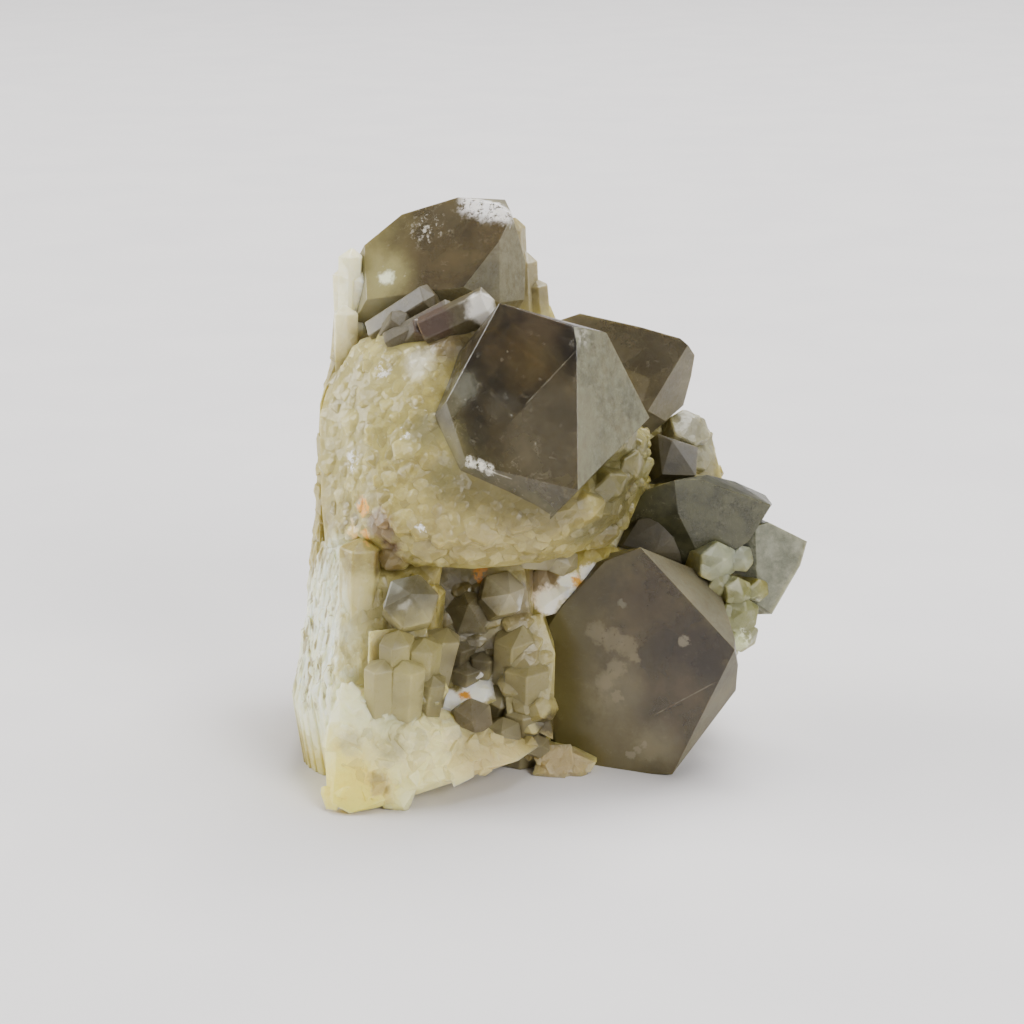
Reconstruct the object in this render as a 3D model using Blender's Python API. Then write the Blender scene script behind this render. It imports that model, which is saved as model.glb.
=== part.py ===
"""Pineapple quartz cluster, about 50 mm tall, modelled as one natural solid.

Large smoky crystals stand out of pale mantles of small parallel crystals, on a broken cream
foot. The frame is +Z up with the origin on the ground under the middle of the cluster, and the
display side faces -Y.

The cluster is designed on a drawing of its display side. A drawing point is millimetres across
and up from the drawing's centre, and a corner also has a depth behind the drawing's plane. The
drawing is made from VIEW_DISTANCE away, looking down by VIEW_PITCH, so what lies behind its
plane is drawn a little smaller than it is. Directions are (across, up, towards the viewer).
"""
import math
import random
from collections import namedtuple

import bmesh
import bpy
from mathutils import Matrix, Vector
from mathutils.bvhtree import BVHTree

MM = 0.001
NAME = "quartz_cluster"
ROCK_COLOUR = (0.50, 0.46, 0.33, 1.0)
ROCK_ROUGHNESS = 0.45
VIEW_DISTANCE = 220.0
VIEW_PITCH = 16.4
DRAWING_CENTRE = (-3.5, -6.1, 22.8)   # where the drawing's centre stands in the part's frame
CUT_DEPTH = 6.0                       # reach of the ground cutter below the resting plane
TIP_RATIO = 1.0                       # height of a small crystal's pyramid over its radius
MERGE = 0.02                          # corners closer than this are one corner

# A facet of a large crystal: the direction it faces, the corners drawn on it, and the drawn
# corner of the first facet that it shares. A facet with no shared corner runs through the tip.
Facet = namedtuple("Facet", "faces corners shared", defaults=(None,))
# A large crystal: its tip, its drawn facets, corners on its far side, the direction it points
# and how far its prism runs back into the mass.
Crystal = namedtuple("Crystal", "name tip facets far axis length")
# A smaller hexagonal crystal: tip, direction, radius and length.
Column = namedtuple("Column", "name tip axis radius length")
# A field of small crystals, seen from a heading and a pitch: the window across and up that
# view, spacing, radius, length, how far tips stand proud, the lean that the field shares, how
# strongly it leans, the masses that carry it and the seed. On broken rock, length is the lumps'
# half thickness.
Patch = namedtuple(
    "Patch", "name heading pitch across up spacing radius length proud lean pull hosts seed"
)

CRYSTALS = (
    Crystal(
        "front_tip",
        (5.7, 14.6, -12.5),
        (
            Facet((-0.40, 0.00, 0.917), ((5.4, 16.3), (-1.1, 18.4), (-5.8, 9.7), (-4.0, 4.3))),
            Facet((0.82, 0.006, 0.57), ((6.2, 16.2), (8.3, 15.8), (12.1, 8.3), (5.8, 1.9))),
        ),
        ((7.4, 11.6, 2.0), (1.6, 16.5, 0.0)),
        (0.49, 0.53, 0.70),
        9.0,
    ),
    Crystal(
        "top_tip",
        (-1.1, 23.9, -1.0),
        (
            Facet(
                (-0.35, 0.35, 0.87),
                ((-1.4, 27.1), (-4.8, 27.7), (-9.7, 26.2), (-13.0, 23.5), (-12.8, 18.7),
                 (-4.3, 19.8)),
            ),
            Facet((0.80, -0.15, 0.58), ((-1.1, 18.4), (1.1, 18.7), (1.2, 22.0), (0.0, 26.2))),
        ),
        ((-0.6, 27.5, 4.0),),
        (0.40, 0.60, 0.70),
        7.0,
    ),
    Crystal(
        "right_tip",
        (15.5, 14.7, 4.0),
        (
            Facet(
                (-0.40, 0.35, 0.85),
                ((14.8, 15.3), (11.3, 16.3), (7.7, 17.1), (6.0, 17.5), (4.2, 16.9),
                 (4.2, 13.4), (7.7, 9.4), (12.0, 8.9)),
            ),
            Facet((0.74, -0.38, 0.55), ((16.1, 13.8), (15.8, 12.0), (15.1, 9.4), (13.5, 8.0))),
        ),
        (),
        (0.50, 0.45, 0.74),
        6.0,
    ),
    Crystal(
        "dark_chip",
        (14.6, 5.0, 5.0),
        (Facet((0.10, 0.10, 0.98), ((12.8, 6.9), (16.4, 5.7), (16.2, 3.2), (13.2, 3.3))),),
        ((14.1, 6.3, 4.6),),
        (0.40, 0.30, 0.85),
        6.0,
    ),
    Crystal(
        "green_tip",
        (22.8, 0.6, 3.0),
        (
            Facet(
                (0.08, -0.39, 0.92),
                ((22.5, 0.1), (14.3, 2.8), (16.5, 2.9), (22.3, -0.3), (20.9, -2.5),
                 (19.6, -3.5), (16.7, -4.4), (15.7, -2.6), (14.6, -0.1)),
            ),
            Facet(
                (0.52, 0.78, 0.36),
                ((22.9, 0.7), (17.1, 3.3), (19.6, 2.7), (22.3, 1.5)),
                (22.3, -0.3),
            ),
            Facet((-0.84, -0.31, 0.43), ((11.7, 1.8), (12.6, 0.0)), (14.3, 2.8)),
        ),
        (),
        (0.75, 0.25, 0.60),
        7.0,
    ),
    Crystal(
        "far_tip",
        (26.0, -2.6, 4.0),
        (
            Facet(
                (-0.06, -0.34, 0.94),
                ((25.4, -4.7), (24.1, -6.9), (22.9, -9.0), (21.6, -8.1), (21.4, -4.2),
                 (21.4, -1.3), (22.6, -0.9)),
            ),
        ),
        ((22.1, -0.7, 7.0), (24.0, -1.6, 6.5)),
        (0.72, 0.05, 0.70),
        7.0,
    ),
    Crystal(
        "low_tip",
        (19.6, -12.1, -3.0),
        (
            Facet(
                (-0.38, -0.15, 0.91),
                ((11.3, -3.1), (14.1, -23.1), (7.7, -22.9), (3.9, -20.5), (3.2, -16.5),
                 (3.3, -9.9), (4.4, -8.3), (8.2, -4.3)),
            ),
            Facet((0.65, 0.67, 0.36), ((17.0, -5.4), (18.3, -6.9), (19.6, -11.1))),
            Facet((0.75, -0.50, 0.43), ((19.9, -13.5), (19.7, -15.7))),
        ),
        (),
        (0.55, 0.12, 0.83),
        9.0,
    ),
    Crystal(
        "dark_bud",
        (13.7, -0.4, 4.0),
        (),
        (
            (12.0, 0.0, 5.0), (15.7, -0.9, 4.2), (16.5, -3.6, 5.5), (16.8, -5.2, 6.5),
            (12.6, -3.6, 4.5), (9.7, -2.9, 4.5), (11.1, -0.7, 4.5),
        ),
        (0.40, 0.10, 0.90),
        4.0,
    ),
)

MASSES = {
    "body": (
        (-14.0, 21.0, 6.0), (-14.5, 16.0, 4.0), (-16.3, 11.0, 4.0), (-16.9, 9.5, 3.0),
        (-16.8, 1.0, 2.0), (-17.0, -4.0, 2.0), (-17.8, -11.5, 4.0), (-16.5, -19.5, 4.0),
        (-1.0, 18.5, 8.0), (4.0, 16.0, 12.0), (11.5, 7.0, 9.0), (13.0, -0.5, 8.0),
        (11.5, -7.5, 5.0), (4.0, -9.5, 5.0), (7.5, -19.5, 6.0), (4.0, -20.5, 6.0),
        (-3.0, -20.5, 5.0), (-12.0, 18.0, 19.0), (2.5, 16.0, 20.0), (11.5, 7.0, 20.0),
        (13.0, -4.0, 19.0), (8.5, -15.5, 17.0), (-5.5, -17.5, 18.0), (-14.0, -15.5, 17.0),
        (-15.5, -4.0, 21.0), (-14.5, 10.0, 21.0), (3.0, -17.5, 17.0),
    ),
    "mantle": (
        (-16.3, 10.7, 2.2), (-16.9, 8.5, 1.6), (-16.8, 1.0, 0.4), (-16.4, -3.0, -0.8),
        (-10.5, -4.5, -4.5), (-3.5, -5.0, -4.5), (2.5, -4.5, -3.5), (7.5, -3.0, -1.0),
        (10.5, -0.5, 1.0), (12.0, 3.0, 3.0), (12.0, 7.0, 4.0), (-7.0, 13.5, -5.0),
        (-7.5, 8.0, -5.8), (-5.6, 3.0, -7.4), (0.3, 0.8, -9.2), (5.0, 0.2, -9.8),
        (8.6, -0.2, -5.6), (11.8, 6.5, -1.4), (-10.0, 17.0, 0.0), (-14.0, 14.5, 2.0),
        (-3.5, 18.0, -3.0), (-12.5, 7.0, -4.5), (-11.0, -0.5, -7.5), (-5.5, -2.5, -8.5),
        (2.5, -2.9, -7.6), (-12.5, 14.0, -1.5), (-15.0, 10.0, 14.0), (-15.0, -2.5, 12.0),
        (4.0, 15.0, 14.0), (11.5, 3.0, 14.0),
    ),
    "lower_left": (
        (-14.5, -3.0, -2.5), (-15.0, -7.5, -4.0), (-15.5, -15.0, -5.0), (-11.0, -17.0, -4.5),
        (-7.6, -11.5, -1.6), (-6.0, -4.0, -3.0), (-17.0, -4.0, 0.4), (-17.8, -8.5, 1.2),
        (-19.0, -15.0, 2.0), (-18.5, -16.5, 3.0), (-17.0, -20.0, 1.0), (-8.6, -18.5, -1.6),
        (-17.5, -9.5, 14.0), (-18.0, -16.5, 14.0), (-6.5, -7.5, 12.0),
    ),
    "white_chip": (
        (-6.4, -16.4, 0.6), (-5.4, -15.4, 1.4), (-3.2, -14.3, 2.2), (-1.8, -14.6, 1.9),
        (-1.4, -16.6, 0.6), (-2.8, -17.2, -0.1), (-5.4, -18.2, -0.3), (-5.2, -15.5, 6.5),
        (-1.5, -15.0, 6.5), (-2.0, -17.5, 6.5), (-5.2, -17.8, 6.5),
    ),
    "seam": (
        (8.4, -4.4, 1.1), (4.3, -8.8, 3.0), (0.7, -9.8, 3.6), (0.8, -6.2, 3.8),
        (4.8, -2.9, 2.8), (8.7, -3.2, 1.4), (8.0, -6.0, 8.0), (1.0, -9.0, 9.0),
        (4.5, -3.0, 9.0),
    ),
    "foot": (
        (-16.5, -20.0, -4.5), (-16.3, -24.5, -6.0), (-15.8, -25.7, -7.0), (-14.3, -26.5, -7.3),
        (-11.8, -26.0, -6.3), (-8.0, -24.1, -6.0), (-4.5, -23.0, -5.0), (0.5, -21.9, -2.5),
        (2.5, -20.5, 1.0), (-6.5, -17.5, -2.5), (-10.5, -17.0, -4.5), (-13.0, -16.5, -5.5),
        (-15.0, -15.0, -6.0), (-16.0, -19.0, 10.0), (-15.5, -18.0, 13.0), (-7.0, -17.0, 14.0),
        (2.5, -18.0, 12.0),
    ),
    "ledge": (
        (1.4, -20.6, 2.2), (4.0, -20.7, 1.6), (7.4, -22.0, 1.9), (6.9, -22.9, 1.6),
        (4.6, -22.9, 1.0), (2.2, -22.2, 1.2), (1.5, -19.5, 8.0), (7.6, -20.5, 8.0),
        (2.0, -21.5, 8.0), (7.6, -21.8, 8.0),
    ),
    "right_base": (
        (11.5, 7.0, 8.0), (15.0, 9.0, 10.0), (16.5, 8.5, 10.0), (17.5, 7.0, 10.0),
        (18.0, 3.5, 10.0), (18.5, -0.5, 9.0), (21.0, -7.5, 8.5), (21.0, -11.0, 8.0),
        (19.0, -12.5, 6.5), (12.0, -7.5, 4.0), (15.0, 6.5, 17.0), (18.0, -4.0, 17.0),
        (18.0, -11.5, 16.0), (11.5, -4.0, 17.0),
    ),
}

COLUMNS = (
    Column("hex_end", (-8.8, -7.6, -8.0), (0.10, 0.25, 0.95), 2.5, 6.0),
    Column("bud_a", (-9.9, -11.3, -6.5), (0.10, 0.50, 0.85), 1.3, 4.0),
    Column("side_column", (-5.9, -10.3, -3.2), (0.22, 0.88, 0.42), 1.4, 9.0),
    Column("tall_column", (-13.2, -3.6, -5.0), (0.06, 0.95, 0.30), 2.1, 14.0),
    Column("near_column", (-10.1, -10.6, -6.8), (0.05, 0.88, 0.47), 1.5, 7.0),
    Column("mid_column", (-7.8, -11.0, -5.6), (0.10, 0.88, 0.47), 1.5, 7.0),
    Column("low_column_a", (-9.2, -12.9, -6.6), (0.08, 0.88, 0.45), 1.4, 7.0),
    Column("low_column_b", (-11.5, -12.9, -6.9), (0.03, 0.90, 0.42), 1.4, 7.0),
    Column("low_column_c", (-7.0, -14.2, -4.6), (0.15, 0.85, 0.50), 1.2, 6.0),
    Column("round_end", (-0.2, -6.7, -2.0), (0.35, 0.30, 0.88), 2.2, 6.0),
    Column("brown_bud", (-3.2, -8.6, -1.0), (0.10, 0.00, 0.98), 2.7, 6.0),
    Column("olive_bud_a", (2.9, -3.2, -4.5), (0.40, -0.20, 0.90), 2.5, 6.0),
    Column("olive_bud_b", (4.8, -4.6, -2.6), (0.40, -0.20, 0.90), 1.6, 5.0),
    Column("gray_hex", (-3.3, -17.8, -2.8), (0.25, 0.15, 0.95), 2.3, 5.0),
    Column("gray_bud_a", (-0.4, -19.4, -1.0), (0.30, 0.10, 0.90), 1.7, 5.0),
    Column("gray_bud_b", (2.5, -20.6, 0.6), (0.30, 0.10, 0.90), 1.2, 5.0),
    Column("broad_blade", (0.4, -9.9, 0.4), (0.05, 0.86, 0.50), 2.1, 10.0),
    Column("pale_blade", (1.3, -12.7, 0.2), (0.02, 0.90, 0.42), 1.9, 9.0),
    Column("low_blade", (1.0, -16.9, 0.6), (0.05, 0.85, 0.50), 1.5, 7.0),
    Column("hollow_a", (-4.6, -10.9, 1.0), (0.12, 0.82, 0.55), 1.4, 8.0),
    Column("hollow_b", (-2.3, -11.9, 1.4), (0.10, 0.84, 0.52), 1.4, 8.0),
    Column("hollow_c", (-4.0, -13.1, 1.2), (0.10, 0.82, 0.55), 1.2, 7.0),
    Column("hollow_d", (-0.9, -15.7, 1.0), (0.20, 0.60, 0.75), 1.3, 6.0),
    Column("rim_plate_a", (10.0, 5.4, -5.2), (0.66, -0.35, 0.66), 2.9, 9.0),
    Column("rim_plate_b", (11.1, 3.4, -3.4), (0.75, -0.40, 0.53), 1.9, 8.0),
    Column("rim_plate_c", (9.2, 1.3, -6.2), (0.60, -0.50, 0.62), 2.3, 8.0),
    Column("rim_plate_d", (6.8, -0.6, -8.4), (0.45, -0.55, 0.70), 2.3, 8.0),
    Column("rim_plate_e", (4.0, -1.6, -9.0), (0.25, -0.55, 0.80), 2.1, 7.0),
    Column("saddle_gray", (-6.6, 19.1, -1.6), (0.78, 0.45, 0.43), 1.6, 8.0),
    Column("saddle_wedge", (-4.6, 17.9, -3.2), (0.85, 0.42, 0.30), 1.5, 8.0),
    Column("saddle_white", (-1.4, 18.6, -5.0), (0.88, 0.38, 0.28), 1.7, 8.0),
    Column("saddle_bud_a", (-9.4, 17.3, -2.2), (0.45, 0.50, 0.75), 1.3, 6.0),
    Column("saddle_bud_b", (-7.3, 16.6, -3.6), (0.50, 0.45, 0.75), 1.4, 6.0),
    Column("needle_a", (-14.2, 23.3, 3.5), (0.02, 0.98, 0.20), 1.2, 11.0),
    Column("needle_b", (-14.9, 21.6, 5.0), (-0.03, 0.98, 0.15), 1.0, 11.0),
    Column("needle_c", (-13.0, 21.2, 3.6), (0.10, 0.97, 0.25), 1.2, 9.0),
    Column("needle_d", (-12.3, 23.1, 6.0), (0.10, 0.97, 0.10), 1.3, 9.0),
    Column("needle_e", (-14.6, 18.3, 2.4), (0.02, 0.97, 0.25), 1.2, 8.0),
    Column("back_spur_a", (-0.1, 26.0, 4.0), (-0.05, 0.95, 0.30), 1.5, 10.0),
    Column("back_spur_b", (1.0, 22.9, 5.0), (-0.05, 0.95, 0.30), 1.3, 8.0),
    Column("back_spur_d", (2.2, 20.6, 5.5), (-0.10, 0.95, 0.30), 1.0, 8.0),
    Column("back_spur_c", (-1.1, 26.2, 9.0), (0.05, 0.98, -0.10), 2.4, 12.0),
    Column("green_base", (18.6, -4.7, 3.0), (0.45, -0.20, 0.87), 2.1, 7.0),
    Column("green_ledge", (20.7, -4.2, 4.2), (0.50, -0.10, 0.86), 1.5, 6.0),
    Column("knob_a", (20.3, -7.2, 3.4), (0.48, -0.15, 0.86), 1.5, 7.0),
    Column("knob_b", (22.1, -7.0, 4.8), (0.58, -0.15, 0.80), 1.3, 7.0),
    Column("knob_c", (20.6, -9.3, 3.8), (0.45, -0.20, 0.87), 2.1, 7.0),
    Column("knob_d", (20.9, -11.4, 5.2), (0.55, -0.40, 0.73), 1.7, 6.0),
    Column("knob_e", (18.7, -6.6, 3.6), (0.40, -0.10, 0.90), 1.4, 6.0),
    Column("lobe_a", (16.1, 8.0, 7.0), (0.40, 0.55, 0.72), 2.2, 8.0),
    Column("lobe_b", (16.7, 5.6, 7.6), (0.55, 0.35, 0.75), 2.0, 8.0),
)

PATCHES = (
    Patch("mantle", 0, 16.4, (-18.8, 10), (14, 40), 2.6, 1.40, 4.0, 0.6,
          (0.5, -0.5, 0.7), 0.65, ("mantle", "body"), 11),
    Patch("hollow", 0, 16.4, (-10, 3), (0, 16), 2.6, 1.40, 3.5, 0.8,
          (0.2, -0.8, 0.5), 0.5, ("body", "mantle"), 12),
    Patch("left_druse", 0, 16.4, (-21, -9), (4, 15), 2.6, 1.25, 4.0, 0.7,
          (0.1, -0.4, 0.9), 0.8, ("lower_left",), 13),
    Patch("right_druse", 0, 16.4, (8, 20), (8, 22), 2.8, 1.40, 4.0, 0.9,
          (0.6, -0.6, 0.4), 0.7, ("right_base",), 14),
    Patch("right_side", 90, 10, (-12, 18), (8, 36), 4.2, 2.10, 6.0, 1.3,
          (0.8, -0.2, 0.5), 0.6, ("right_base", "body", "mantle"), 15),
    Patch("top_side", 0, 80, (-18, 8), (5, 27), 5.2, 2.40, 7.0, 2.2,
          (0.1, 0.1, 1.0), 0.7, ("body",), 16),
    Patch("back_side", 180, 0, (-16, 20), (18, 44), 6.0, 2.80, 8.0, 2.6,
          (0.3, 0.8, 0.6), 0.5, ("body",), 17),
)

FRACTURES = (
    Patch("back_rock", 180, 0, (-12, 22), (2, 38), 7.5, 5.0, 2.2, -0.5,
          (0.0, 1.0, 0.2), 0.3, ("body", "right_base"), 21),
    Patch("left_rock", -90, 0, (-22, 18), (3, 40), 6.5, 4.4, 1.4, -0.9,
          (-1.0, 0.0, 0.2), 0.3, ("body", "lower_left", "foot"), 22),
    Patch("foot_rock", 0, 16.4, (-21, -2), (-4, 6), 4.2, 2.9, 1.0, -0.5,
          (0.0, -1.0, 0.3), 0.3, ("foot",), 23),
    Patch("under_rock", 0, -60, (-18, 12), (-14, 8), 7.0, 4.2, 1.2, -0.4,
          (0.0, 0.0, -1.0), 0.2, ("body", "foot"), 24),
)


class Drawing:
    """The drawing of the display side, and how its points stand in the part's frame."""

    def __init__(self, centre, distance, pitch):
        lean = math.radians(pitch)
        self.across = Vector((1.0, 0.0, 0.0))
        self.up = Vector((0.0, math.sin(lean), math.cos(lean)))
        self.away = Vector((0.0, math.cos(lean), -math.sin(lean)))
        self.centre = Vector(centre) * MM
        self.distance = distance * MM
        self.eye = self.centre - self.away * self.distance

    def point(self, across, up, depth=0.0):
        """Where a drawn corner stands when it lies a depth behind the drawing's plane."""
        reach = self.distance + depth * MM
        slide = (self.across * across + self.up * up) * (MM * reach / self.distance)
        return self.eye + self.away * reach + slide

    def direction(self, faces):
        """A direction given as (across, up, towards the viewer)."""
        along = self.across * faces[0] + self.up * faces[1] - self.away * faces[2]
        return along.normalized()

    def on_facet(self, across, up, through, normal):
        """Where a drawn corner meets the facet through one point, facing normal."""
        sight = self.point(across, up) - self.eye
        share = normal.dot(through - self.eye) / normal.dot(sight)
        return self.eye + sight * share


DRAWING = Drawing(DRAWING_CENTRE, VIEW_DISTANCE, VIEW_PITCH)


def solid_object(name, bm, collection):
    """Close a bmesh into a named object with outward faces."""
    bmesh.ops.remove_doubles(bm, verts=bm.verts, dist=MERGE * MM)
    bmesh.ops.recalc_face_normals(bm, faces=bm.faces)
    mesh = bpy.data.meshes.new(name)
    bm.to_mesh(mesh)
    bm.free()
    obj = bpy.data.objects.new(name, mesh)
    collection.objects.link(obj)
    return obj


def hull_bmesh(points):
    """The convex block around a set of corner points."""
    bm = bmesh.new()
    for point in points:
        bm.verts.new(point)
    hull = bmesh.ops.convex_hull(bm, input=bm.verts)
    spare = [item for item in hull["geom_interior"] if isinstance(item, bmesh.types.BMVert)]
    bmesh.ops.delete(bm, geom=spare, context="VERTS")
    return bm


def crystal_points(crystal):
    """Corners of a large crystal, with its prism swept back into the mass."""
    tip = DRAWING.point(*crystal.tip)
    first = DRAWING.direction(crystal.facets[0].faces) if crystal.facets else None
    points = [tip]
    for facet in crystal.facets:
        normal = DRAWING.direction(facet.faces)
        through = tip
        if facet.shared is not None:
            through = DRAWING.on_facet(*facet.shared, tip, first)
        points += [DRAWING.on_facet(*corner, through, normal) for corner in facet.corners]
    points += [DRAWING.point(*corner) for corner in crystal.far]
    back = DRAWING.direction(crystal.axis) * (crystal.length * MM)
    return points + [point - back for point in points]


def column_bmesh(tip, axis, radius, length, rng):
    """A hexagonal crystal with a six-sided, slightly uneven pyramid."""
    bm = bmesh.new()
    bmesh.ops.create_cone(
        bm,
        cap_ends=True,
        cap_tris=False,
        segments=6,
        radius1=radius * 0.95,
        radius2=radius,
        depth=length - radius * TIP_RATIO,
    )
    top = max(bm.faces, key=lambda face: face.calc_center_median().z)
    apex = bmesh.ops.poke(bm, faces=[top])["verts"][0]
    apex.co.z += radius * TIP_RATIO
    apex.co.x += radius * rng.uniform(-0.25, 0.25)
    apex.co.y += radius * rng.uniform(-0.25, 0.25)
    spin = Matrix.Rotation(rng.uniform(0.0, math.tau / 6), 4, "Z")
    squash = Matrix.Diagonal((1.0, rng.uniform(0.8, 1.0), 1.0, 1.0))
    turn = Vector((0.0, 0.0, 1.0)).rotation_difference(axis).to_matrix().to_4x4()
    drop = Matrix.Translation((0.0, 0.0, -(length + radius * TIP_RATIO) * 0.5))
    place = Matrix.Translation(tip) @ turn @ spin @ squash @ drop
    bmesh.ops.transform(bm, matrix=place, verts=bm.verts)
    return bm


def chunk_bmesh(centre, axis, radius, thickness, rng):
    """A flat-faced lump of broken rock, thinner along its axis."""
    turn = Vector((0.0, 0.0, 1.0)).rotation_difference(axis)
    points = []
    for _ in range(11):
        angle = rng.uniform(0.0, math.tau)
        level = rng.uniform(-1.0, 1.0)
        reach = math.sqrt(1.0 - level * level) * radius * rng.uniform(0.8, 1.1)
        corner = (math.cos(angle) * reach, math.sin(angle) * reach, level * thickness)
        points.append(centre + turn @ Vector(corner))
    return hull_bmesh(points)


def surface_tree(blocks):
    """One searchable surface over named blocks, with the owner of every face."""
    corners = []
    faces = []
    owners = []
    for name, bm in blocks:
        base = len(corners)
        bm.verts.index_update()
        corners.extend(v.co.copy() for v in bm.verts)
        for face in bm.faces:
            faces.append([base + v.index for v in face.verts])
            owners.append(name)
    return BVHTree.FromPolygons(corners, faces), owners


def plant(patch, tree, owners, collection, rock=False):
    """Cover a patch of its host masses with small crystals, or with broken rock."""
    rng = random.Random(patch.seed)
    look = Matrix.Rotation(math.radians(patch.heading), 3, "Z")
    tilt = Matrix.Rotation(math.radians(-patch.pitch), 3, "X")
    gaze = look @ tilt @ Vector((0.0, 1.0, 0.0))
    right = look @ Vector((1.0, 0.0, 0.0))
    rise = right.cross(gaze)
    lean = Vector(patch.lean).normalized()
    step = patch.spacing * 0.87
    rows = int((patch.up[1] - patch.up[0]) / step)
    stops = int((patch.across[1] - patch.across[0]) / patch.spacing)
    grown = 0
    for row in range(rows):
        for stop in range(stops):
            wobble_a = rng.uniform(-0.3, 0.3)
            wobble_b = rng.uniform(-0.3, 0.3)
            scale = rng.uniform(0.8, 1.2)
            across = patch.across[0] + (stop + 0.5 * (row % 2) + wobble_a) * patch.spacing
            up = patch.up[0] + (row + wobble_b) * step
            start = (right * across + rise * up - gaze * 80.0) * MM
            hit, normal, index, _ = tree.ray_cast(start, gaze)
            if hit is None or owners[index] not in patch.hosts:
                continue
            if normal.dot(gaze) > -0.2:
                continue
            axis = (lean * patch.pull + normal * (1.0 - patch.pull)).normalized()
            tip = hit + axis * (patch.proud * scale * MM)
            radius = patch.radius * scale * MM
            if rock:
                bm = chunk_bmesh(tip, axis, radius, patch.length * MM, rng)
            elif tip.z < 1.5 * MM:
                continue
            else:
                bm = column_bmesh(tip, axis, radius, patch.length * MM, rng)
            solid_object(f"{patch.name}_{grown:03d}", bm, collection)
            grown += 1
    return grown


def ground_cutter(collection):
    """A block under the resting plane; it leaves flats where the cluster stands."""
    bm = bmesh.new()
    bmesh.ops.create_cube(bm, size=1.0)
    size = Matrix.Diagonal((0.12, 0.12, CUT_DEPTH * MM, 1.0))
    down = Matrix.Translation((0.0, 0.0, -CUT_DEPTH * 0.5 * MM))
    bmesh.ops.transform(bm, matrix=down @ size, verts=bm.verts)
    return solid_object("ground", bm, collection)


def fill_pockets(obj):
    """Apply the modifiers and fill any pocket sealed inside the grown mass."""
    graph = bpy.context.evaluated_depsgraph_get()
    grown = bpy.data.meshes.new_from_object(obj.evaluated_get(graph))
    obj.modifiers.clear()
    obj.data = grown
    bm = bmesh.new()
    bm.from_mesh(grown)
    left = set(bm.verts)
    shells = []
    while left:
        shell = {left.pop()}
        edge = list(shell)
        while edge:
            reached = {e.other_vert(v) for v in edge for e in v.link_edges} - shell
            shell |= reached
            edge = list(reached)
        left -= shell
        shells.append(shell)
    shells.sort(key=len)
    for shell in shells[:-1]:
        bmesh.ops.delete(bm, geom=list(shell), context="VERTS")
    bm.to_mesh(grown)
    bm.free()


def rock_material():
    """Plain pale quartz colour for the solid."""
    material = bpy.data.materials.new(NAME)
    material.use_nodes = True
    shader = material.node_tree.nodes["Principled BSDF"]
    shader.inputs["Base Color"].default_value = ROCK_COLOUR
    shader.inputs["Roughness"].default_value = ROCK_ROUGHNESS
    return material


def fresh_collection(name):
    """A new collection linked to the scene."""
    collection = bpy.data.collections.new(name)
    bpy.context.scene.collection.children.link(collection)
    return collection


def build():
    """Build the cluster as one solid named for the record."""
    for obj in list(bpy.data.objects):
        bpy.data.objects.remove(obj)
    home = fresh_collection(NAME)
    tools = fresh_collection("cutters")
    growths = fresh_collection("growths")
    blocks = [(c.name, hull_bmesh(crystal_points(c))) for c in CRYSTALS]
    for name, corners in MASSES.items():
        blocks.append((name, hull_bmesh([DRAWING.point(*corner) for corner in corners])))
    tree, owners = surface_tree(blocks)
    for patch in PATCHES:
        plant(patch, tree, owners, growths)
    for patch in FRACTURES:
        plant(patch, tree, owners, growths, rock=True)
    for index, column in enumerate(COLUMNS):
        tip = DRAWING.point(*column.tip)
        axis = DRAWING.direction(column.axis)
        rng = random.Random(index)
        bm = column_bmesh(tip, axis, column.radius * MM, column.length * MM, rng)
        solid_object(column.name, bm, growths)
    cluster = None
    for name, bm in blocks:
        if name == "body":
            cluster = solid_object(NAME, bm, home)
        else:
            solid_object(name, bm, growths)
    join = cluster.modifiers.new("grown together", "BOOLEAN")
    join.operation = "UNION"
    join.solver = "EXACT"
    join.operand_type = "COLLECTION"
    join.collection = growths
    join.use_self = True
    stand = cluster.modifiers.new("ground flats", "BOOLEAN")
    stand.operation = "DIFFERENCE"
    stand.solver = "EXACT"
    stand.object = ground_cutter(tools)
    fill_pockets(cluster)
    cluster.data.materials.append(rock_material())
    for obj in list(tools.objects) + list(growths.objects):
        obj.hide_render = True
        obj.display_type = "WIRE"


build()
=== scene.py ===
"""Looks of the pineapple quartz cluster.

Clear smoky crystals stand out of a milky mass of small parallel crystals on a broken cream
foot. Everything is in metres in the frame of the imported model, +Z up, display side facing -Y.

The shapes are designed on a drawing of the display side: millimetres across and up from the
drawing's centre, and a depth behind the drawing's plane. Directions are (across, up, towards
the viewer).
"""

import logging
import math
import random
from dataclasses import dataclass, field
from enum import Enum
from typing import Callable, Iterable, Sequence

import bmesh
import bpy
from mathutils import Matrix, Vector
from mathutils.bvhtree import BVHTree

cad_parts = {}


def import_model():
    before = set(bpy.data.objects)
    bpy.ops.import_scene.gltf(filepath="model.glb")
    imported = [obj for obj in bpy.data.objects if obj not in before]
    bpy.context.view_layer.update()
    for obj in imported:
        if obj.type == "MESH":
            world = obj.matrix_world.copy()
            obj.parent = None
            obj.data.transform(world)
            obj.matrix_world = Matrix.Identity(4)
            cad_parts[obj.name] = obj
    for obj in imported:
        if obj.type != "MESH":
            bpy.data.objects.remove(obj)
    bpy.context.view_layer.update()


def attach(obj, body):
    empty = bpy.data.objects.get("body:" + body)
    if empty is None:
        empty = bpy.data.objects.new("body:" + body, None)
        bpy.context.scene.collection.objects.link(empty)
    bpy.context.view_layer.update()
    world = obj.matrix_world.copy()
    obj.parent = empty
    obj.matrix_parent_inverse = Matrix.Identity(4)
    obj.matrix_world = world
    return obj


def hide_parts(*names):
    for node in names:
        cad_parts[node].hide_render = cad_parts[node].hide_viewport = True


LOG = logging.getLogger("quartz_cluster")
MM = 0.001
BODY = "root"
NODE = "quartz_cluster"
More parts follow.
